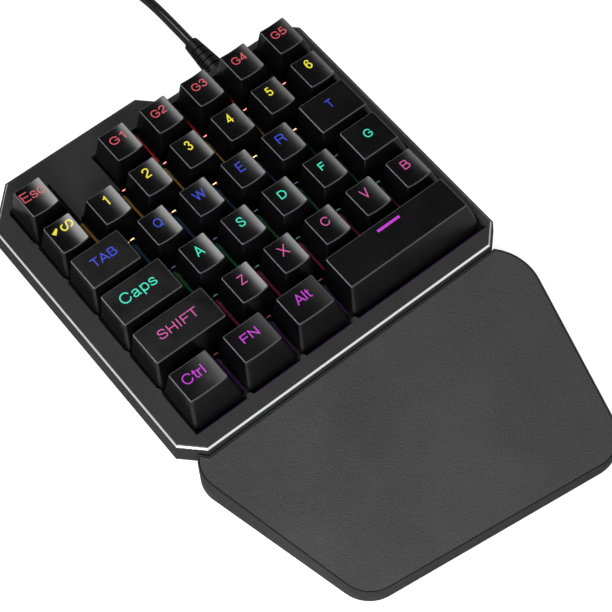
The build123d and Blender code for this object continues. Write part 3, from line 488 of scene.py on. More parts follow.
@dataclass(frozen=True)
class Finish:
    """One moulded, rubber, painted or metal surface.

    Attributes:
        name: What the material is called.
        colour: Its base colour.
        drift: The colour that it slowly drifts to over the surface.
        roughness: Its middle roughness.
        polish: How far the roughness wanders.
        grain: The scale of its grain, in turns a metre.
        depth: The height of its grain in metres.
        dust: How much settles on faces that look up.
        metallic: Whether it is metal.
        coat: The strength of a clear coat.
        rolled: Whether its grain runs in lines.
        specular: The level of its plain gloss.
        rim: The colour of the highlight painted along its rounded rim, or None where it has none.
        lip: The height in metres above which it is dark, or None where it isn't.
        lip_colour: The colour above that height.
    """

    name: str
    colour: Colour
    drift: Colour
    roughness: float
    polish: float = 0.06
    grain: float = 2600.0
    depth: float = 0.00001
    dust: float = 0.04
    metallic: float = 0.0
    coat: float = 0.0
    rolled: bool = False
    specular: float = 0.5
    rim: Colour | None = None
    lip: float | None = None
    lip_colour: Colour = (0.018, 0.018, 0.0185)

    @cache
    def material(self) -> Material:
        """Builds the material the first time.

        Returns:
            The material.
        """
        made, nodes, shader = blank_material(self.name)
        nodes.feed(shader, {"Metallic": self.metallic, "Coat Weight": self.coat, "Specular IOR Level": self.specular})
        surface = nodes.put("ShaderNodeGroup", {
            "Colour": self.colour, "Drift Colour": self.drift, "Dust": self.dust, "Roughness": self.roughness,
            "Polish": self.polish}, node_tree=handling_group())
        colour = surface.outputs["Colour"]
        # Painted highlight: where the mesh's rim attribute is set, the colour turns lighter and stands in for the
        # light that a rounded edge catches.
        if self.rim is not None:
            rim_highlight = nodes.put("ShaderNodeAttribute", attribute_name="rim")
            colour = nodes.blend(rim_highlight.outputs["Fac"], colour, self.rim)
        if self.lip is not None:
            below = nodes.maths("LESS_THAN", nodes.height(nodes.place()), self.lip)
            colour = nodes.blend(below, self.lip_colour, colour)
            nodes.feed(shader, {"Metallic": below})
        relief = nodes.put("ShaderNodeGroup", {"Scale": self.grain},
                           node_tree=brushed_group() if self.rolled else grain_group())
        bump = nodes.put("ShaderNodeBump", {"Distance": self.depth, "Height": relief.outputs["Height"]})
        nodes.feed(shader, {"Base Color": colour, "Roughness": surface.outputs["Roughness"],
                            "Normal": bump.outputs["Normal"]})
        return made


@dataclass(frozen=True)
class Glow:
    """A surface that gives light of one colour, a little uneven.

    Attributes:
        name: What the material is called.
        colour: The colour of its light.
        strength: How strong it is.
        body: The colour of the piece when it is dark.
        evenness: The share of the light that is the same all over.
        lit_from: The height in metres where it is fully lit.
        fade: The height in metres over which it fades below that.
        gloss: The level of its plain gloss.
    """

    name: str
    colour: Colour
    strength: float
    body: Colour
    evenness: float
    lit_from: float = 0.0
    fade: float = 1.0
    gloss: float = 0.5

    @cache
    def material(self) -> Material:
        """Builds the material the first time.

        Returns:
            The material.
        """
        made, nodes, shader = blank_material(self.name)
        light = nodes.put("ShaderNodeGroup", {
            "Colour": self.colour, "Dim Colour": tuple(channel * self.evenness for channel in self.colour),
            "Dark Height": self.lit_from - self.fade, "Lit Height": self.lit_from}, node_tree=light_group())
        nodes.feed(shader, {"Base Color": self.body, "Roughness": 0.45, "Specular IOR Level": self.gloss,
                            "Emission Strength": self.strength, "Emission Color": light.outputs["Colour"]})
        return made


class Finishes(Enum):
    """Every finish of the keyboard."""

    # The caps' rim colour is a painted highlight along their rounded top edges.
    CAP = Finish("cap_plastic", (0.0018, 0.0018, 0.0021), (0.0025, 0.0025, 0.0029), 0.2, grain=3400.0,
                 depth=0.000004, dust=0.01, rim=(0.055, 0.055, 0.058))
    BEZEL = Finish("bezel_plastic", (0.024, 0.024, 0.0246), (0.028, 0.028, 0.0288), 0.6, depth=0.00003,
                   specular=0.08)
    TRIM = Finish("trim_silver", (0.93, 0.93, 0.93), (0.88, 0.88, 0.89), 0.2, polish=0.05, grain=5200.0,
                  depth=0.000003, dust=0.0, metallic=1.0, lip=0.01662)
    CASE = Finish("case_plastic", (0.010, 0.010, 0.0103), (0.013, 0.013, 0.0134), 0.56, grain=2400.0,
                  depth=0.00003, specular=0.15)
    DECK = Finish("deck_plastic", (0.004, 0.004, 0.0045), (0.006, 0.006, 0.0065), 0.6, grain=2200.0,
                  depth=0.00002, dust=0.0)
    REST = Finish("rest_soft_touch", (0.038, 0.038, 0.0386), (0.046, 0.046, 0.0467), 0.62, grain=1500.0,
                  depth=0.0006, specular=0.1)
    REST_SIDE = Finish("rest_side_plastic", (0.021, 0.021, 0.0215), (0.026, 0.026, 0.0265), 0.55, grain=2400.0,
                       depth=0.00003, specular=0.1)
    DOME = Finish("dome_silicone", (0.62, 0.64, 0.66), (0.70, 0.71, 0.72), 0.42, grain=1500.0, dust=0.0)
    FILM = Finish("polyester_film", (0.62, 0.66, 0.64), (0.50, 0.56, 0.54), 0.22, grain=700.0, dust=0.0)
    PLATE = Finish("rolled_steel", (0.55, 0.55, 0.56), (0.48, 0.48, 0.49), 0.38, grain=1200.0, dust=0.0,
                   metallic=1.0, rolled=True)
    BOARD = Finish("board_mask", (0.012, 0.10, 0.035), (0.016, 0.13, 0.045), 0.35, grain=1400.0, dust=0.0,
                   coat=0.3)
    SCREW = Finish("screw_black_steel", (0.16, 0.16, 0.17), (0.22, 0.22, 0.23), 0.36, grain=1800.0, dust=0.0,
                   metallic=1.0)
    PAD = Finish("foot_rubber", (0.018, 0.018, 0.018), (0.028, 0.028, 0.027), 0.78, grain=1300.0, depth=0.00005)
    WIRE = Finish("spring_wire", (0.62, 0.62, 0.63), (0.52, 0.52, 0.53), 0.26, grain=1500.0, dust=0.0,
                  metallic=1.0, rolled=True)
    LEAD = Finish("lead_vinyl", (0.007, 0.007, 0.0073), (0.009, 0.009, 0.0094), 0.2, polish=0.04, grain=1700.0,
                  depth=0.000003, dust=0.01, specular=0.22)
    SLEEVE = Finish("sleeve_rubber", (0.004, 0.004, 0.0042), (0.006, 0.006, 0.0063), 0.4, grain=1900.0,
                    depth=0.000006, dust=0.0, specular=0.12)
    TIE = Finish("strap_plastic", (0.028, 0.028, 0.029), (0.04, 0.04, 0.04), 0.6, grain=1100.0, depth=0.00003)
    SHELL = Finish("shell_nickel", (0.70, 0.70, 0.71), (0.62, 0.62, 0.63), 0.2, grain=1500.0, dust=0.0,
                   metallic=1.0, rolled=True)
    FOOT = Finish("foot_plastic", (0.024, 0.024, 0.025), (0.03, 0.03, 0.031), 0.5, grain=2200.0, depth=0.00003)

    def material(self) -> Material:
        """Returns the finish's material."""
        return self.value.material()


# Keys
@dataclass
class KeyCap:
    """One hollow keycap with its plunger.

    Attributes:
        name: The key's name, without its prefix.
        row: Its row, rear row first.
        share: Its width in pitches.
        x: The x of its middle.
        slider: Half the width of the plunger, and its lowest and highest point.
        stem: Half the width and half the depth of the stem.
        stem_overlap: How far the stem goes into the plunger and into the cap.
        wire_reach: How far a stabiliser wire's tips stand before its hinge.
        hinge_y: The y of that hinge from the key's middle.
    """

    name: str
    row: int
    share: float
    x: float
    wall: float = 1.3
    roof: float = 1.6
    edge: float = 0.22
    edge_steps: int = 4
    rim_flat: float = 0.18
    crown: tuple[float, ...] = (0.93, 0.78, 0.58, 0.36, 0.15)
    skirt: Flat = (0.15, 0.5)
    shoulder: Flat = (1.6, 0.15)
    base_corner: float = 2.0
    top_corner: float = 0.7
    inner_corner: float = 0.5
    dish: float = 0.55
    wide_dish: float = 0.35
    slider: Point = (3.25, 14.6, 20.5)
    stem: Flat = (1.6, 2.3)
    stem_overlap: Flat = (1.0, 0.2)
    wire_reach: float = 8.8283
    hinge_y: float = 5.6
    wire_lift: float = 1.75
    ear: float = 0.6
    ear_inset: float = 1.5
    ear_overlap: float = 0.1

    def __post_init__(self) -> None:
        """Works out the cap's body, its height, and the size and the place of its top."""
        self.y = -self.row * PITCH
        self.flat = self.name in FLAT_KEYS
        self.body = self.name + "_key"
        self.top = KEY_BASE + ROW_HEIGHTS[self.row]
        self.top_width = self.share * PITCH - CAP_GAP - 2 * WALL_SLOPE
        self.top_depth = TOP_DEPTH + (FLAT_EXTRA_DEPTH if self.flat else 0.0)
        self.top_y = self.y + ROW_LEANS[self.row] + (self.top_depth - TOP_DEPTH) / 2

    def hollow_at(self, x: float) -> float:
        """How far the dish lies under the rim at one x.

        Args:
            x: Where to measure.

        Returns:
            The depth, which is zero on a level top.
        """
        if self.flat:
            return 0.0
        deep = self.dish if self.share == 1 else self.wide_dish
        half = self.top_width / 2
        radius = half ** 2 / (2 * deep) + deep / 2
        return deep - (radius - math.sqrt(radius ** 2 - min(abs(x - self.x), half) ** 2))

    def outline(self, height: float, inset: float = 0.0) -> list[Flat]:
        """The cap's outline at one height, moved inwards.

        Args:
            height: The height above the desk.
            inset: How far inwards it is moved.

        Returns:
            The outline's points.
        """
        share = (height - KEY_BASE) / (self.top - KEY_BASE)
        reach = FRONT_ROW_REACH if self.row == LAST_ROW else 0.0
        base_width, base_depth, base_y = self.share * PITCH - CAP_GAP, PITCH - CAP_GAP + reach, self.y - reach / 2
        width = base_width + (self.top_width - base_width) * share - 2 * inset
        depth = base_depth + (self.top_depth - base_depth) * share - 2 * inset
        corner = self.base_corner + (self.top_corner - self.base_corner) * share - inset
        middle = (self.x, base_y + (self.top_y - base_y) * share)
        return rounded_rectangle(width, depth, max(corner, self.inner_corner), middle, max(10, round(8 * self.share)))

    def ring(self, shell: Shell, height: float, inset: float = 0.0, dished: bool = False, rim: float = 0.0) -> Ring:
        """Adds one ring of the cap, lowered with the dish where it is near the top.

        Args:
            shell: The mesh that takes the ring.
            height: The ring's height before the dish lowers it.
            inset: How far inwards it is moved.
            dished: Whether it follows the dish.
            rim: How much of the painted edge highlight it takes.

        Returns:
            The ring's vertices.
        """
        points = []
        for index, (x, y) in enumerate(self.outline(height, inset)):
            level = height
            if dished and not self.flat:
                level = height - self.hollow_at(x)
                x, y = self.outline(level, inset)[index]
            points.append(PLACE.at(x, y, level))
        made = shell.ring(points)
        # The rim layer carries the painted highlight on the rounded top edge.
        rim_highlight = shell.bm.verts.layers.float["rim"]
        for vertex in made:
            vertex[rim_highlight] = rim
        return made

    def dished_top(self, shell: Shell, rim: Ring) -> None:
        """Fills the cap's top with rings that follow the dish.

        Args:
            shell: The mesh that takes them.
            rim: The ring to fill.
        """
        outer = [(v.co.x / MM - PLACE.x_shift, v.co.y / MM - PLACE.y_shift) for v in rim]
        rings = [rim]
        for share in self.crown:
            places = [(self.x + (x - self.x) * share, self.top_y + (y - self.top_y) * share) for x, y in outer]
            rings.append(shell.ring([PLACE.at(x, y, self.top - self.hollow_at(x)) for x, y in places]))
        shell.loft(rings)
        shell.fan(rings[-1], PLACE.at(self.x, self.top_y, self.top - self.hollow_at(self.x)))

    def cap_shell(self, shell: Shell) -> None:
        """Adds the cap itself: skirt, walls, rounded rim, dish and hollow inside.

        Args:
            shell: The mesh that takes it.
        """
        outer = [self.ring(shell, KEY_BASE, self.skirt[0])]
        outer += [self.ring(shell, KEY_BASE + rise) for rise in self.skirt]
        outer += [self.ring(shell, self.top - self.edge - drop, dished=True) for drop in self.shoulder]
        # The rounded top edge's rings take the full painted highlight.
        for step in range(self.edge_steps + 1):
            angle = math.radians(90.0 * step / self.edge_steps)
            height = self.top - self.edge * (1 - math.sin(angle))
            outer.append(self.ring(shell, height, self.edge * (1 - math.cos(angle)), dished=True, rim=1.0))
        outer.append(self.ring(shell, self.top, self.edge + self.rim_flat, dished=True))
        shell.loft(outer)
        self.dished_top(shell, outer[-1])
        ceiling = self.top - self.roof
        inside = [self.ring(shell, KEY_BASE, self.wall), self.ring(shell, ceiling - self.edge, self.wall),
                  self.ring(shell, ceiling, self.wall + self.edge)]
        shell.bridge(inside[0], outer[0])
        shell.loft(inside[::-1])
        shell.fan(inside[-1][::-1], PLACE.at(self.x, self.top_y, ceiling))

    def plunger(self, shell: Shell) -> None:
        """Adds the square slider under the cap and the stem that grips it.

        Args:
            shell: The mesh that takes them.
        """
        half, low, high = self.slider
        wide, deep = self.stem
        shell.block(PLACE.at(self.x - half, self.y - half, low), PLACE.at(self.x + half, self.y + half, high),
                    0.25 * MM)
        shell.block(PLACE.at(self.x - wide, self.y - deep, high - self.stem_overlap[0]),
                    PLACE.at(self.x + wide, self.y + deep, self.top - self.roof + self.stem_overlap[1]))

    def ears(self, shell: Shell) -> None:
        """Adds the two slotted ears that hold a stabiliser wire's tips.

        Args:
            shell: The mesh that takes them.
        """
        if self.name not in WIRE_HALF_SPANS:
            return
        reach = WIRE_HALF_SPANS[self.name] - self.ear_inset
        tip_y, tip_z = self.y + self.hinge_y - self.wire_reach, KEY_BASE + self.wire_lift
        root = self.top - self.roof - tip_z + self.ear_overlap
        bars = ((-2.3, -1.5, -1.7, 1.9), (1.5, 2.3, -1.7, root), (-1.6, 1.6, -1.7, -0.9), (-1.6, 1.6, 0.9, root))
        for x in (self.x - reach, self.x + reach):
            for front, rear, low, high in bars:
                shell.block(PLACE.at(x - self.ear, tip_y + front, tip_z + low),
                            PLACE.at(x + self.ear, tip_y + rear, tip_z + high))

    def build(self) -> None:
        """Builds the whole key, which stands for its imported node."""
        shell = Shell()
        # This layer holds where the painted edge highlight lies.
        shell.bm.verts.layers.float.new("rim")
        self.cap_shell(shell)
        self.plunger(shell)
        self.ears(shell)
        made = shell.finish("cap_" + self.name, Finishes.CAP.material(), 30.0)
        declare(made, "keycap", self.body, "key_" + self.name)


GLYPHS = {
    "A": (93, "-5,0 46,97 88,0|-21,32 71,32"),
    "B": (93, "-17,3 17,97|~17,94 48,94 66,90 73,75 66,58 48,53 17,53|~17,53 52,53 72,47 80,29 72,11 52,6 17,6"),
    "C": (100, "~86,68 78,84 65,93 50,95 30,90 15,73 10,50 15,27 30,10 50,5 66,8 80,20 87,36"),
    "D": (100, "-17,3 17,97|~17,94 42,94 66,88 82,70 86,50 82,30 66,12 42,6 17,6"),
    "E": (93, "-84,94 17,94 17,6 86,6|-17,52 80,52"),
    "F": (85, "-80,94 17,94 17,0|-17,50 73,50"),
    "G": (108, "~88,69 80,85 66,93 52,95 31,90 16,73 11,50 16,27 31,10 52,5 70,8 84,17 91,25|-55,47 91,47 91,20"),
    "H": (100, "-17,0 17,100|-83,0 83,100|-17,52 83,52"),
    "I": (39, "-19.5,0 19.5,100"),
    "N": (100, "-17,0 17,98 83,2 83,100"),
    "Q": (108, "o54,95 33,90 17,73 11,50 17,27 33,10 54,5 75,10 91,27 97,50 91,73 75,90|-62,24 98,-4"),
    "R": (100, "-17,0 17,97|~17,94 52,94 74,89 82,72 74,55 52,49 17,49|~54,49 71,43 77,29 79,10 84,0"),
    "S": (93, "~79,70 72,87 58,94 44,95 26,90 17,76 24,61 44,53 66,46 79,36 80,22 68,9 48,5 28,8 15,20 11,33"),
    "T": (85, "-3,94 82,94|-42.5,94 42.5,0"),
    "V": (93, "-5,100 46.5,4 88,100"),
    "W": (131, "-5,100 36,3 65.5,96 95,3 126,100"),
    "X": (93, "-7,0 86,100|-7,100 86,0"),
    "Z": (85, "-8,94 75,94 10,6 78,6"),
    "a": (77, "~14,52 19,63 36,68 53,63 57,52 57,20 60,6 70,4|~57,42 46,38 24,34 11,20 18,8 30,4 46,9 57,20"),
    "c": (70, "~62,48 55,62 43,67 36,68 20,62 10,36 20,10 36,5 48,7 58,15 63,27"),
    "l": (31, "-15.5,0 15.5,100"),
    "p": (77, "-14,-27 14,73|o41,68 24,62 14,36 24,10 41,5 58,11 67,36 58,62"),
    "r": (46, "-14,0 14,73|~14,42 20,56 30,65 45,67"),
    "s": (70, "~58,50 51,63 36,68 22,65 14,53 21,42 37,37 53,31 60,19 51,8 35,4 18,9 9,22"),
    "t": (39, "~20,92 20,60 20,30 22,10 30,5 40,5|-3,67 38,67"),
    "1": (77, "-15,77 32,82 46,97 46,0"),
    "2": (77, "~10,68 16,86 38,95 60,88 66,72 58,54 36,36 18,22 10,6|-8,6 68,6"),
    "3": (77, "~10,72 18,88 38,95 58,88 62,73 55,58 36,53|~36,53 58,48 68,29 58,11 38,5 18,10 8,28"),
    "4": (77, "-52,0 52,96 7,28 70,28"),
    "5": (77, "-64,94 20,94 13,47|~13,47 24,56 38,60 58,52 67,33 60,13 38,5 18,9 8,25"),
    "6": (77, "~64,73 58,88 41,95 20,84 10,50 12,28 22,10 40,5 58,12 67,31 58,52 40,60 22,52 11,36"),
}
CAPITAL = 100.0


@dataclass(frozen=True)
class Mark:
    """One printed mark and the space that its ink fills on its cap.

    Attributes:
        key: The key's name.
        words: The characters, each drawn with the strokes that GLYPHS gives.
        left: The left of the ink from the key's middle.
        right: The right of the ink.
        base: The y of its baseline from the middle of a plain top.
        top: The y of the top of its capitals.
    """

    key: str
    words: str
    left: float
    right: float
    base: float
    top: float


MARKS = (
    Mark("esc", "Esc", -4.85, 4.5, 0.0, 4.4),
    *(Mark("g%d" % number, "G%d" % number, -3.3, 3.05, 0.1, 3.6) for number in range(1, 6)),
    Mark("1", "1", -0.6, 0.95, -0.09, 4.06),
    Mark("2", "2", -1.66, 1.19, 0.25, 4.5),
    Mark("3", "3", -1.2, 1.15, 0.06, 4.3),
    Mark("4", "4", -1.4, 1.3, 0.1, 4.2),
    Mark("5", "5", -1.2, 1.15, 0.4, 4.3),
    Mark("6", "6", -1.1, 1.4, 0.8, 4.9),
    Mark("tab", "TAB", -5.43, 5.28, 0.04, 3.8),
    Mark("q", "Q", -1.75, 1.65, -0.55, 3.2),
    Mark("w", "W", -2.6, 2.2, -0.5, 3.3),
    Mark("e", "E", -1.6, 1.15, -0.8, 3.6),
    Mark("r", "R", -1.9, 1.6, -0.2, 3.75),
    Mark("t", "T", -1.65, 1.45, 0.3, 4.1),
    Mark("caps", "Caps", -8.2, 7.0, -0.07, 4.4),
    Mark("a", "A", -1.87, 1.47, -0.7, 3.6),
    Mark("s", "S", -1.5, 1.3, -0.6, 3.5),
    Mark("d", "D", -1.7, 1.4, -0.65, 3.0),
    Mark("f", "F", -1.5, 1.1, -0.2, 3.1),
    Mark("g", "G", -1.3, 2.0, -0.1, 3.5),
    Mark("shift", "SHIFT", -8.5, 8.8, -0.3, 3.5),
    Mark("z", "Z", -1.5, 1.36, -0.48, 3.4),
    Mark("x", "X", -1.9, 1.6, -0.5, 3.7),
    Mark("c", "C", -1.6, 1.7, -0.3, 3.4),
    Mark("v", "V", -1.73, 1.4, -0.53, 3.65),
    Mark("b", "B", -1.3, 1.7, -0.05, 3.9),
    Mark("ctrl", "Ctrl", -5.44, 3.4, -0.7, 3.44),
    Mark("fn", "FN", -3.54, 3.4, -0.45, 3.1),
    Mark("alt", "Alt", -3.3, 3.44, -0.4, 3.7),
)
TILDE = ("~1.06,3.8 0.14,3.51 -0.11,2.32 0.48,1.25 1.72,1.39 2.28,2.71 2.59,4.01 3.49,4.11 4.15,3.57 4.41,2.42 "
         "3.95,1.55 2.92,1.18")
TILDE_PEN = 0.6
BACKTICK = ((-1.7, 4.1), (-4.4, 2.6), (-3.3, 1.3), (-1.45, 3.4))
SPACE_BAR = "--5.25,5.3 5.03,5.3"
SPACE_BAR_PEN = 1.1


def smooth(points: Sequence[Vector], closed: bool, steps: int = 5) -> list[Vector]:
    """Draws a smooth line through some points.

    Args:
        points: The points of the line.
        closed: Whether it comes back to its start.
        steps: Runs from one point to the next.

    Returns:
        The finer line.
    """
    count = len(points)
    made = []
    for span in range(count if closed else count - 1):
        first, second, third, fourth = (
            points[index % count if closed else min(max(index, 0), count - 1)] for index in range(span - 1, span + 3))
        bend = 2 * first - 5 * second + 4 * third - fourth
        twist = 3 * second - first - 3 * third + fourth
        for share in (step / steps for step in range(steps)):
            made.append((2 * second + (third - first) * share + bend * share ** 2 + twist * share ** 3) / 2)
    return made if closed else made + [points[-1]]


def divided(path: Sequence[Vector], closed: bool, longest: float) -> list[Vector]:
    """Adds points to a line until no run is longer than a limit.

    Args:
        path: The line.
        closed: Whether it comes back to its start.
        longest: The limit.

    Returns:
        The finer line.
    """
    ends = [*path, path[0]] if closed else list(path)
    made = []
    for first, second in zip(ends, ends[1:]):
        runs = max(1, math.ceil((second - first).length / longest))
        made += [first.lerp(second, index / runs) for index in range(runs)]
    return made if closed else made + [path[-1]]


def pen_path(drawn: str) -> tuple[list[Vector], bool]:
    """Reads one stroke: "-" runs straight, "~" runs smoothly, and "o" runs smoothly back to its start.

    Args:
        drawn: The sign and then the stroke's points.

    Returns:
        The line, and whether it is closed.
    """
    points = [Vector([float(value) for value in pair.split(",")]) for pair in drawn[1:].split()]
    closed = drawn[0] == "o"
    return points if drawn[0] == "-" else smooth(points, closed), closed


@dataclass
class Legends:
    """The printed marks: pen strokes of ink, a thin layer that follows each cap's top.

    Attributes:
        ink: How far the ink stands over the cap.
        rooted: How far it goes into the cap.
        sharpest_mitre: How far a sharp corner may reach out, in pen widths.
    """

    caps: dict[str, KeyCap]
    ink: float = 0.035
    rooted: float = 0.06
    longest_run: float = 0.7
    sharpest_mitre: float = 2.0
    strength: float = 0.85
    body_share: float = 0.3
    evenness: float = 0.94

    def inked(self, cap: KeyCap, x: float, y: float, rise: float) -> Vector:
        """Returns a point over the cap's dish, from the middle of a plain top."""
        level = cap.top - cap.hollow_at(cap.x + x) + rise
        return PLACE.at(cap.x + x, cap.y + ROW_LEANS[cap.row] + y, level)

    def stroke(self, shell: Shell, cap: KeyCap, path: Sequence[Vector], closed: bool, pen: float) -> None:
        """Adds one stroke as a flat ribbon with mitred corners.

        Args:
            shell: The mesh that takes it.
            cap: The cap that it lies on.
            path: Its middle line, from the middle of a plain top.
            closed: Whether it comes back to its start.
            pen: Its width.
        """
        path = divided(path, closed, self.longest_run)
        last = len(path) - 1
        corners = ((-1, -self.rooted), (1, -self.rooted), (1, self.ink), (-1, self.ink))
        rings = []
        for index, point in enumerate(path):
            before = path[index - 1] if closed or index else 2 * point - path[1]
            after = path[(index + 1) % len(path)] if closed or index < last else 2 * point - path[index - 1]
            leaving = (after - point).normalized()
            along = ((point - before).normalized() + leaving).normalized()
            mitre = min(1 / max(along.dot(leaving), 0.1), self.sharpest_mitre)
            side = Vector((-along.y, along.x)) * pen / 2 * mitre
            rings.append(shell.ring([
                self.inked(cap, point.x + side.x * edge, point.y + side.y * edge, rise) for edge, rise in corners]))
        shell.loft(rings)
        if closed:
            shell.bridge(rings[-1], rings[0])
        else:
            shell.bm.faces.new(rings[0])
            shell.bm.faces.new(rings[-1])

    def seat(self, name: str, shell: Shell, cap: KeyCap) -> None:
        """Makes a mark of its row's ink and lets it ride on its key.

        Args:
            name: The mark's name.
            shell: Its mesh.
            cap: The cap that carries it.
        """
        light = ROW_LIGHTS[cap.row]
        body = tuple(channel * self.body_share for channel in light.mark)
        ink = Glow("mark_" + light.title, light.mark, self.strength, body, self.evenness)
        declare(shell.finish("mark_" + name, ink.material(), 30.0), "keycap", cap.body)

    def lettering(self, mark: Mark) -> None:
        """Sets one mark's characters on its cap, drawn to fill its space.

        Args:
            mark: What to print and where.
        """
        cap = self.caps[mark.key]
        pen = ROW_LIGHTS[cap.row].pen
        strokes, advance = [], 0.0
        for width, drawn in (GLYPHS[letter] for letter in mark.words):
            for path, closed in map(pen_path, drawn.split("|")):
                strokes.append(([point + Vector((advance, 0.0)) for point in path], closed))
            advance += width
        reach = [point.x for path, _ in strokes for point in path]
        start = min(reach)
        wide = (mark.right - mark.left - pen) / (max(reach) - start)
        tall = (mark.top - mark.base) / CAPITAL
        left = mark.left + pen / 2
        shell = Shell()
        for path, closed in strokes:
            placed = [Vector((left + (point.x - start) * wide, mark.base + point.y * tall)) for point in path]
            self.stroke(shell, cap, placed, closed, pen)
        self.seat(mark.key, shell, cap)

    def sign(self, name: str, key: str, drawn: str, pen: float) -> None:
        """Draws one sign that is a single stroke in millimetres.

        Args:
            name: The mark's name.
            key: The key that carries it.
            drawn: The stroke.
            pen: Its width.
        """
        shell = Shell()
        self.stroke(shell, self.caps[key], *pen_path(drawn), pen)
        self.seat(name, shell, self.caps[key])

    def backtick(self) -> None:
        """Lays the wedge of the backtick."""
        cap = self.caps["backtick"]
        shell = Shell()
        rings = [shell.ring([self.inked(cap, x, y, rise) for x, y in BACKTICK]) for rise in (-self.rooted, self.ink)]
        shell.loft(rings)
        for ring in rings:
            shell.bm.faces.new(ring)
        self.seat("backtick", shell, cap)

    def build(self) -> None:
        """Prints every mark."""
        for mark in MARKS:
            self.lettering(mark)
        self.backtick()
        self.sign("tilde", "backtick", TILDE, TILDE_PEN)
        self.sign("space", "space", SPACE_BAR, SPACE_BAR_PEN)
        log.info("printed %d marks", len(MARKS) + 3)


class KeyField:
    """All thirty-five keys in their six rows."""

    def __init__(self) -> None:
        """Lays out the caps."""
        self.caps: dict[str, KeyCap] = {}
        for row, keys in enumerate(KEY_ROWS):
            left = 0.0
            for name, share in keys:
                if name is not None:
                    self.caps[name] = KeyCap(name, row, share, (left + share / 2) * PITCH)
                left += share

    def gaps(self, row: int) -> list[float]:
        """The x of each gap between two neighbours of a row."""
        return [left * PITCH for left in accumulate(share for _, share in KEY_ROWS[row][:-1])]

    def build(self) -> None:
        """Builds the caps and their marks."""
        for cap in self.caps.values():
            cap.build()
        log.info("built %d keycaps", len(self.caps))
        Legends(self.caps).build()


def bar_tree() -> bpy.types.NodeTree:
    """A rounded bar along y on each point.

    Returns:
        A tree with the bar's length, width, height, corner and finish as inputs.
    """
    group = Group("bars_on_points", "GeometryNodeTree")
    carrier, = group.take("Geometry", "Geometry")
    length, width, height, corner = group.take("Float", "Length", "Width", "Height", "Corner")
    finish, = group.take("Material", "Finish")
    line = group.put("GeometryNodeCurvePrimitiveLine", {"Direction": (0.0, 1.0, 0.0), "Length": length},
                     mode="DIRECTION")
    section = group.put("GeometryNodeCurvePrimitiveQuadrilateral", {"Width": width, "Height": height})
    rounded = group.put("GeometryNodeFilletCurve", {"Count": 3, "Curve": section.outputs[0], "Radius": corner},
                        mode="POLY")
    bar = group.put("GeometryNodeCurveToMesh", {
        "Fill Caps": True, "Curve": line.outputs[0], "Profile Curve": rounded.outputs[0]})
    spots = group.put("GeometryNodeMeshToPoints", {"Mesh": carrier})
    bars = group.put("GeometryNodeInstanceOnPoints", {"Points": spots.outputs[0], "Instance": bar.outputs[0]})
    real = group.put("GeometryNodeRealizeInstances", {0: bars.outputs[0]})
    dressed = group.put("GeometryNodeSetMaterial", {"Geometry": real.outputs[0], "Material": finish})
    group.give("Geometry", "Geometry", dressed.outputs[0])
    return group.tree


def repeated(
    tree: bpy.types.NodeTree, name: str, points: Sequence[Vector], values: dict[str, object]
) -> bpy.types.Mesh:
    """Runs a tree on a set of points.

    Args:
        tree: The tree.
        name: The name of the carrier.
        points: Where the shape repeats, in metres.
        values: What each named input is set to.

    Returns:
        The result as one plain mesh.
    """
    mesh = bpy.data.meshes.new(name)
    mesh.from_pydata([tuple(point) for point in points], [], [])
    carrier = link(bpy.data.objects.new(name, mesh))
    modifier = carrier.modifiers.new("repeat", "NODES")
    modifier.node_group = tree
    for item in tree.interface.items_tree:
        if item.name in values:
            modifier[item.identifier] = values[item.name]
    bpy.context.view_layer.update()
    graph = bpy.context.evaluated_depsgraph_get()
    made = bpy.data.meshes.new_from_object(carrier.evaluated_get(graph))
    bpy.data.objects.remove(carrier)
    bpy.data.meshes.remove(mesh)
    return made


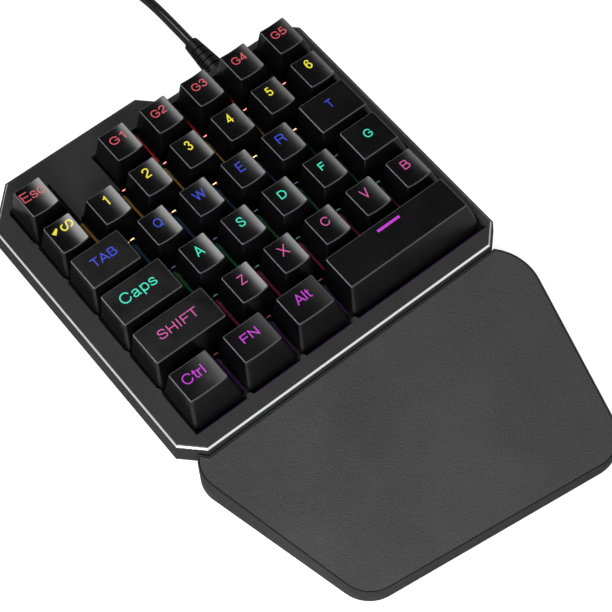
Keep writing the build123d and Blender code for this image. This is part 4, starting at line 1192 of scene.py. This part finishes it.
@dataclass
class UnderLight:
    """The coloured light between the keys: a lit fin in each gap, and a small bright blade behind it.

    Attributes:
        corner_share: The radius of their corners, as a share of their narrower side.
        fin_fade: The height over which its light fades.
    """

    keys: KeyField
    bars: bpy.types.NodeTree = field(default_factory=bar_tree)
    foot: float = 12.0
    tip: float = 15.6
    corner_share: float = 0.15
    fin_size: Flat = (0.5, 15.4)
    fin_fade: float = 0.6
    spark_size: Flat = (1.9, 0.36)
    spark_fade: float = 0.15
    front_height: float = 2.0
    front_depth: float = 0.8
    front_gap: float = 0.3
    body: Colour = (0.002, 0.002, 0.002)
    evenness: float = 0.6
    gloss: float = 0.03
    paleness: float = 0.25

    def blades(
        self, name: str, middles: Sequence[Flat], size: Flat, tip: float, material: str, colour: Colour,
        strength: float, fade: float,
    ) -> None:
        """Stands lit blades on the deck.

        Args:
            name: The name of the piece that they make.
            middles: The x and y of each blade's middle.
            size: Their size along x and y.
            tip: The height of their tips above the desk.
            material: The name of their material.
            colour: The colour of their light.
            strength: Its strength.
            fade: The height over which it fades below the tips.
        """
        width, length = size
        height = tip - self.foot
        glow = Glow(material, colour, strength, self.body, self.evenness, tip * MM, fade * MM, self.gloss)
        points = [PLACE.at(x, y - length / 2, self.foot + height / 2) for x, y in middles]
        mesh = repeated(self.bars, name, points, {
            "Length": length * MM, "Width": width * MM, "Height": height * MM,
            "Corner": min(width, height) * self.corner_share * MM, "Finish": glow.material(),
        })
        declare(add_piece(name, mesh, None, 40.0), "deck", "case")

    def fins(self, row: int) -> None:
        """Lights the gaps of one row, but not those beside the blank panel.

        Args:
            row: The row.
        """
        light = ROW_LIGHTS[row]
        gaps = self.keys.gaps(row)[0 if row else 2:]
        self.blades("glow_fins_" + light.title, [(x, -row * PITCH) for x in gaps], self.fin_size, self.tip,
                    "glow_" + light.title, light.glow, light.fin, self.fin_fade)

    def sparks(self, row: int) -> None:
        """Sets the bright blades where the light of one row shows at the next row's gaps.

        Args:
            row: The row whose light it is.
        """
        light = ROW_LIGHTS[row]
        x_nudge, y_nudge = light.nudge
        points = [(x + x_nudge, -(row + 0.5) * PITCH + y_nudge) for x in self.keys.gaps(row + 1)]
        pale = tuple(self.paleness + (1 - self.paleness) * channel for channel in light.glow)
        self.blades("sparks_" + light.title, points[0 if row else 1:], self.spark_size, self.tip,
                    "spark_" + light.title, pale, light.spark, self.spark_fade)

    def front_strip(self) -> None:
        """Lights the front of the last row from under the bezel."""
        light = ROW_LIGHTS[LAST_ROW]
        front = -(LAST_ROW + 0.5) * PITCH - FRONT_ROW_REACH - self.front_gap
        wide = FIELD_COLUMNS * PITCH
        self.blades("glow_front", [(wide / 2, front)], (wide - 2 * CAP_GAP, self.front_depth),
                    self.foot + self.front_height, "glow_front", light.glow, light.fin, self.front_height)

    def build(self) -> None:
        """Lights all rows."""
        for row in range(len(KEY_ROWS)):
            self.fins(row)
            if row < LAST_ROW:
                self.sparks(row)
        self.front_strip()
        log.info("lit %d rows", len(KEY_ROWS))


@dataclass
class Domes:
    """The rubber sheet with one dome under each plunger.

    Attributes:
        outside: The radius and height over the sheet of each ring of a dome's outside.
        inside: The same for its inside.
    """

    keys: KeyField
    base: float = 10.0
    sheet_low: float = 9.4
    outside: tuple[Flat, ...] = (
        (3.7, 0.0), (3.2, 0.25), (3.0, 0.8), (2.45, 3.1), (2.25, 3.9), (2.05, 4.2), (1.6, 4.3))
    inside: tuple[Flat, ...] = ((1.7, 3.7), (1.9, 3.2), (2.45, 0.8), (2.7, 0.0))
    steps: int = 20

    def circle(self, shell: Shell, cap: KeyCap, radius: float, height: float) -> Ring:
        """Adds one ring of a dome.

        Args:
            shell: The mesh that takes it.
            cap: The key over it.
            radius: Its radius.
            height: Its height over the sheet.

        Returns:
            The ring's vertices.
        """
        angles = [2 * math.pi * step / self.steps for step in range(self.steps)]
        return shell.ring([PLACE.at(cap.x + radius * math.cos(angle), cap.y + radius * math.sin(angle),
                                    self.base + height) for angle in angles])

    def dome(self, cap: KeyCap) -> None:
        """Builds one dome under its key.

        Args:
            cap: The key over it.
        """
        shell = Shell()
        outer = [self.circle(shell, cap, radius, height) for radius, height in self.outside]
        inner = [self.circle(shell, cap, radius, height) for radius, height in self.inside]
        shell.loft(outer)
        shell.fan(outer[-1], PLACE.at(cap.x, cap.y, self.base + self.outside[-1][1]))
        shell.fan(inner[0][::-1], PLACE.at(cap.x, cap.y, self.base + self.inside[0][1]))
        shell.loft(inner)
        shell.bridge(inner[-1], outer[0])
        made = declare(shell.finish("dome_" + cap.name, Finishes.DOME.material(), 50.0), "dome_rubber", "case")
        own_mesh(made)

    def build(self) -> None:
        """Builds the sheet and its domes."""
        low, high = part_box("rubber_dome_sheet")
        shell = Shell()
        shell.block(Vector((low.x, low.y, self.sheet_low * MM)), Vector((high.x, high.y, self.base * MM)), 0.2 * MM)
        declare(shell.finish("dome_sheet", Finishes.DOME.material()), "dome_rubber", "case", "rubber_dome_sheet")
        for cap in self.keys.caps.values():
            self.dome(cap)
        log.info("moulded %d domes", len(self.keys.caps))


# Lead
class Slot(Enum):
    """Where a slot cuts the sleeve."""

    NONE = 0
    OVER = 1
    BESIDE = 2


@dataclass
class Lead:
    """The lead: its free stretch, its put-away coil and the slotted sleeve where it leaves the case.

    Attributes:
        start: Where it leaves its sleeve.
        tail: From the coil to the plug.
        flange: The y, half width and half height of the rings of its flange.
        neck: The same from the case's wall on, up to the start of its cone.
        slot_wall: The slope of its walls.
        slot_over: The sine past which a slot cuts the top and the bottom.
        slot_beside: The cosine past which a slot cuts the sides.
    """

    diameter: float = 4.0
    length: float = 1.513
    start: Point = (102.0, 32.575, 9.0)
    route: tuple[Point, ...] = (
        (102.0, 41.0, 9.0), (102.0, 58.0, 8.3), (101.8, 72.0, 4.6), (101.3, 84.0, 2.7), (101.6, 98.0, 2.7),
        (101.6, 110.0, 2.7))
    coil_middle: Flat = (135.6, 114.0)
    coil_low: float = 2.7
    coil_rise: float = 4.6
    coil_pitch: float = 4.5
    coil_radius: float = 34.0
    climb_inset: float = 0.8
    layer_turns: int = 5
    points_per_turn: int = 16
    tail: tuple[Point, ...] = (
        (169.6, 114.0, 7.3), (169.6, 108.0, 7.3), (169.6, 93.0, 5.65), (169.6, 78.0, 4.0), (169.6, 72.0, 4.0))
    sleeve_length: float = 19.0
    sleeve_steps: int = 48
    flange: tuple[Point, ...] = ((0.0, 4.5, 2.8), (1.2, 4.5, 2.8))
    neck: tuple[Point, ...] = (
        (-1.6, 2.7, 2.7), (0.02, 2.7, 2.7), (0.06, 4.6, 3.4), (0.3, 4.85, 3.65), (1.5, 4.7, 3.55))
    cone_tip: Flat = (3.1, 3.1)
    tip_radius: float = 2.85
    first_slot: float = 0.7
    slot_count: int = 8
    slot_pitch: float = 1.62
    slot_width: float = 0.55
    slot_wall: float = 0.03
    slot_depth: float = 0.75
    slot_over: float = 0.3
    slot_beside: float = 0.62

    def node_radius(self, index: int) -> float:
        """The coil's radius at the start of one half turn.

        Args:
            index: Which half turn it is, from the outside of the lower layer on.

        Returns:
            The radius.
        """
        half_turns = 2 * self.layer_turns
        radius = self.coil_radius - min(index, 2 * half_turns - 1 - index) * self.coil_pitch / 2
        return radius - (self.climb_inset if index in (half_turns - 1, half_turns) else 0.0)

    def coil_points(self) -> list[Point]:
        """The coil's turns as control points: a spiral in, a climb of one layer, and a spiral out.

        Returns:
            The points.
        """
        half_turns = 2 * self.layer_turns
        per_half = self.points_per_turn // 2
        swell = 1 / math.cos(math.pi / self.points_per_turn)
        middle_x, middle_y = self.coil_middle
        points = []
        for index in range(2 * half_turns - 1):
            first, second = self.node_radius(index), self.node_radius(index + 1)
            level = self.coil_low + (self.coil_rise if index >= half_turns else 0.0)
            for share in (step / per_half for step in range(per_half)):
                radius = (first + second) / 2 + (first - second) / 2 * math.cos(math.pi * share)
                angle = math.pi * (1 - index - share)
                climb = self.coil_rise * share * share * (3 - 2 * share) if index == half_turns - 1 else 0.0
                points.append((middle_x + radius * swell * math.cos(angle),
                               middle_y + radius * swell * math.sin(angle), level + climb))
        return points

    def cord_curve(self) -> Piece:
        """Builds the lead as one round NURBS curve.

        Returns:
            The curve's object.
        """
        points = [self.start, *self.route, *self.coil_points(), *self.tail]
        curve = bpy.data.curves.new("usb_lead", "CURVE")
        curve.dimensions = "3D"
        curve.bevel_depth = self.diameter / 2 * MM
        curve.bevel_resolution = 5
        curve.resolution_u = 5
        curve.use_fill_caps = True
        spline = curve.splines.new("NURBS")
        spline.points.add(len(points) - 1)
        for target, point in zip(spline.points, points):
            target.co = (*PLACE.at(*point), 1.0)
        spline.order_u = 3
        spline.use_endpoint_u = True
        curve.materials.append(Finishes.LEAD.material())
        return link(bpy.data.objects.new("usb_lead", curve))

    def sleeve_ring(self, shell: Shell, y: float, wide: float, tall: float, slot: Slot = Slot.NONE) -> Ring:
        """Adds one ring of the sleeve.

        Args:
            shell: The mesh that takes it.
            y: Where the ring is.
            wide: Half its width.
            tall: Half its height.
            slot: Where a slot cuts it.

        Returns:
            The ring's vertices.
        """
        middle_x, _, middle_z = self.start
        points = []
        for step in range(self.sleeve_steps):
            angle = 2 * math.pi * step / self.sleeve_steps
            across, up = math.cos(angle), math.sin(angle)
            slotted = {Slot.OVER: abs(up) > self.slot_over, Slot.BESIDE: abs(across) > self.slot_beside}
            deep = self.slot_depth if slotted.get(slot) else 0.0
            points.append(PLACE.at(middle_x + (wide - deep) * across, y, middle_z + (tall - deep) * up))
        return shell.ring(points)

    def relief(self) -> Piece:
        """Builds the tapering sleeve where the lead leaves the case, slotted in turn over it and beside it.

        Returns:
            The sleeve.
        """
        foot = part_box("strain_relief")[0].y / MM - PLACE.y_shift
        x, tip, z = self.start
        wall = tip - self.sleeve_length
        past, wide, tall = self.neck[-1]
        cone = wall + past
        shell = Shell()
        rings = [self.sleeve_ring(shell, base + y, *size) for base, rows in ((foot, self.flange), (wall, self.neck))
                 for y, *size in rows]

        def tapered(y: float, slot: Slot = Slot.NONE) -> None:
            """Adds the cone's ring at one place."""
            share = (y - cone) / (tip - cone)
            rings.append(self.sleeve_ring(shell, y, wide + (self.cone_tip[0] - wide) * share,
                                          tall + (self.cone_tip[1] - tall) * share, slot))

        for index in range(self.slot_count):
            y = cone + self.first_slot + index * self.slot_pitch
            slot = (Slot.BESIDE, Slot.OVER)[index % 2]
            tapered(y)
            tapered(y + self.slot_wall, slot)
            tapered(y + self.slot_width - self.slot_wall, slot)
            tapered(y + self.slot_width)
        tapered(tip - 0.25)
        rings.append(self.sleeve_ring(shell, tip, self.tip_radius, self.tip_radius))
        shell.loft(rings)
        shell.fan(rings[-1], PLACE.at(x, tip, z))
        shell.fan(rings[0][::-1], PLACE.at(x, foot, z))
        made = shell.finish("lead_sleeve", Finishes.SLEEVE.material(), 40.0)
        return declare(made, "lead_jacket", "case", "strain_relief")

    def build(self) -> None:
        cord = self.cord_curve()
        sleeve = self.relief()
        declare(cord, "lead_jacket", "case", "lead", "lead_coil")
        tuple(PLACE.at(*self.start))
        log.info("laid the lead")


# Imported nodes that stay, each with its finish and the width of its rounded edges
DRESSES = {
    "top_cover": (Finishes.BEZEL, 0.22),
    "trim_band": (Finishes.TRIM, 0.1),
    "key_deck": (Finishes.DECK, 0.0),
    "shift_wire": (Finishes.WIRE, 0.0),
    "space_wire": (Finishes.WIRE, 0.0),
    "switch_membrane": (Finishes.FILM, 0.0),
    "backing_plate": (Finishes.PLATE, 0.0),
    "light_board": (Finishes.BOARD, 0.0),
    "controller_board": (Finishes.BOARD, 0.0),
    "bottom_case": (Finishes.CASE, 0.25),
    "case_screws": (Finishes.SCREW, 0.15),
    "stack_screws": (Finishes.SCREW, 0.0),
    "wrist_rest_screws": (Finishes.SCREW, 0.15),
    "wrist_rest_base": (Finishes.REST_SIDE, 0.25),
    "wrist_rest_top": (Finishes.REST, 0.3),
    "rubber_pads": (Finishes.PAD, 0.3),
    "left_foot": (Finishes.FOOT, 0.3),
    "right_foot": (Finishes.FOOT, 0.3),
    "lead_tie": (Finishes.TIE, 0.15),
    "plug_body": (Finishes.LEAD, 0.3),
    "plug_shell": (Finishes.SHELL, 0.0),
}


def dress_node(name: str, finish: Finishes, edge: float) -> None:
    """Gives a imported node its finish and, where it has hard edges, a small rounding.

    Args:
        name: The node's name.
        finish: What it is made of.
        edge: The width of its rounded edges in millimetres, or zero for none.
    """
    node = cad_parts[name]
    node.data.materials.clear()
    node.data.materials.append(finish.material())
    node.data.polygons.foreach_set("material_index", [0] * len(node.data.polygons))
    if edge:
        node.modifiers.new("weld", "WELD").merge_threshold = 0.00001
        bevel = node.modifiers.new("edge", "BEVEL")
        bevel.limit_method = "ANGLE"
        bevel.angle_limit = math.radians(35.0)
        bevel.width = edge * MM
        bevel.segments = 2
        bevel.use_clamp_overlap = True


@dataclass
class Studio:
    """The camera, the lamp, the room's light and the floor.

    Attributes:
        lens: Its focal length on a sensor of 36 mm.
        window: The way to the middle of the ceiling's soft window.
        window_edge: The cosines between which it sets in.
        window_in_diffuse: The share of it that matt surfaces take.
        floor_seen: How bright the camera sees it, over its own colour.
    """

    place: Point = (-0.193314, -0.2611015, 0.612337)
    right: Point = (0.782026, -0.622859, -0.021956)
    up: Point = (0.556196, 0.681565, 0.475515)
    lens: float = 110.79
    softbox: Point = (-0.28, -0.30, 0.26)
    softbox_size: float = 0.22
    softbox_power: float = 2.6
    wall_light: float = 0.9
    ceiling_light: float = 0.03
    ceiling_edge: Flat = (0.25, 0.5)
    window: Point = (-0.22, 0.385, 0.896)
    window_light: float = 12.0
    window_edge: Flat = (0.935, 0.995)
    window_in_diffuse: float = 0.2
    floor_colour: float = 0.3
    floor_seen: float = 0.92
    floor_in_gloss: float = 0.12
    floor_reach: float = 6.0

    def camera(self) -> None:
        """Sets up the camera."""
        data = bpy.data.cameras.new("camera")
        data.lens = self.lens
        data.sensor_width = 36.0
        data.clip_start = 0.01
        data.clip_end = 50.0
        made = link(bpy.data.objects.new("camera", data))
        right, up = Vector(self.right).normalized(), Vector(self.up).normalized()
        back = right.cross(up).normalized()
        turn = Matrix((right, back.cross(right), back)).transposed().to_4x4()
        made.matrix_world = Matrix.Translation(Vector(self.place)) @ turn
        bpy.context.scene.camera = made

    def lamp(self) -> None:
        """Sets up the soft lamp on the left."""
        data = bpy.data.lights.new("left_softbox", "AREA")
        data.shape = "RECTANGLE"
        data.size, data.size_y, data.energy = self.softbox_size, self.softbox_size, self.softbox_power
        made = link(bpy.data.objects.new("left_softbox", data))
        made.location = self.softbox
        made.rotation_euler = (-Vector(self.softbox)).to_track_quat("-Z", "Y").to_euler()

    def room(self) -> None:
        """Makes the room: pale walls near the floor, a dark ceiling with a soft window, and white for the camera."""
        world = bpy.data.worlds.new("studio")
        world.use_nodes = True
        nodes = Nodes(world.node_tree)
        direction = nodes.place("Generated")
        walls = nodes.spread(nodes.height(direction), *self.ceiling_edge, self.wall_light, self.ceiling_light,
                             "SMOOTHSTEP")
        facing = nodes.put("ShaderNodeVectorMath", {0: direction, 1: Vector(self.window).normalized()},
                           operation="DOT_PRODUCT")
        window = nodes.spread(facing.outputs["Value"], *self.window_edge, 0.0, self.window_light, "SMOOTHSTEP")
        path = nodes.put("ShaderNodeLightPath").outputs
        share = nodes.spread(path["Is Diffuse Ray"], 0.0, 1.0, 1.0, self.window_in_diffuse, "SMOOTHSTEP")
        room = world.node_tree.nodes["Background"]
        nodes.feed(room, {"Color": WHITE, "Strength": nodes.maths("MULTIPLY_ADD", window, share, walls)})
        seen = nodes.put("ShaderNodeBackground", {"Color": WHITE, "Strength": 1.0})
        through = nodes.put("ShaderNodeMath", {0: path["Is Camera Ray"], 1: path["Is Transmission Ray"]},
                            use_clamp=True)
        mix = nodes.put("ShaderNodeMixShader", {0: through.outputs[0], 1: room.outputs[0], 2: seen.outputs[0]})
        nodes.feed(world.node_tree.nodes["World Output"], {"Surface": mix.outputs[0]})
        bpy.context.scene.world = world

    def floor(self) -> None:
        """Lays the plain pale floor."""
        made, nodes, shader = blank_material("pale_floor")
        path = nodes.put("ShaderNodeLightPath").outputs
        lift: float | Socket = 0.0
        for ray, share in (("Is Camera Ray", self.floor_seen), ("Is Glossy Ray", self.floor_in_gloss),
                           ("Is Transmission Ray", self.floor_seen)):
            lift = nodes.maths("MULTIPLY_ADD", path[ray], share, lift)
        nodes.feed(shader, {"Base Color": (self.floor_colour,) * 3, "Roughness": 0.9, "Specular IOR Level": 0.1,
                            "Emission Color": WHITE, "Emission Strength": lift})
        mesh = bpy.data.meshes.new("floor")
        corners = [(x * self.floor_reach, y * self.floor_reach, 0) for x, y in ((-1, -1), (1, -1), (1, 1), (-1, 1))]
        mesh.from_pydata(corners, [], [(0, 1, 2, 3)])
        add_piece("floor", mesh, made, None)

    def build(self) -> None:
        """Sets up the whole stage."""
        self.camera()
        self.lamp()
        self.room()
        self.floor()
        bpy.context.scene.view_settings.view_transform = "Standard"
        log.info("set up the stage")


def main() -> None:
    """Builds the keyboard piece by piece."""
    Studio().build()
    Lead().build()
    keys = KeyField()
    keys.build()
    UnderLight(keys).build()
    Domes(keys).build()
    for name, (finish, edge) in DRESSES.items():
        dress_node(name, finish, edge)
    log.info("dressed %d packed nodes", len(DRESSES))


if __name__ == "__main__":
    main()
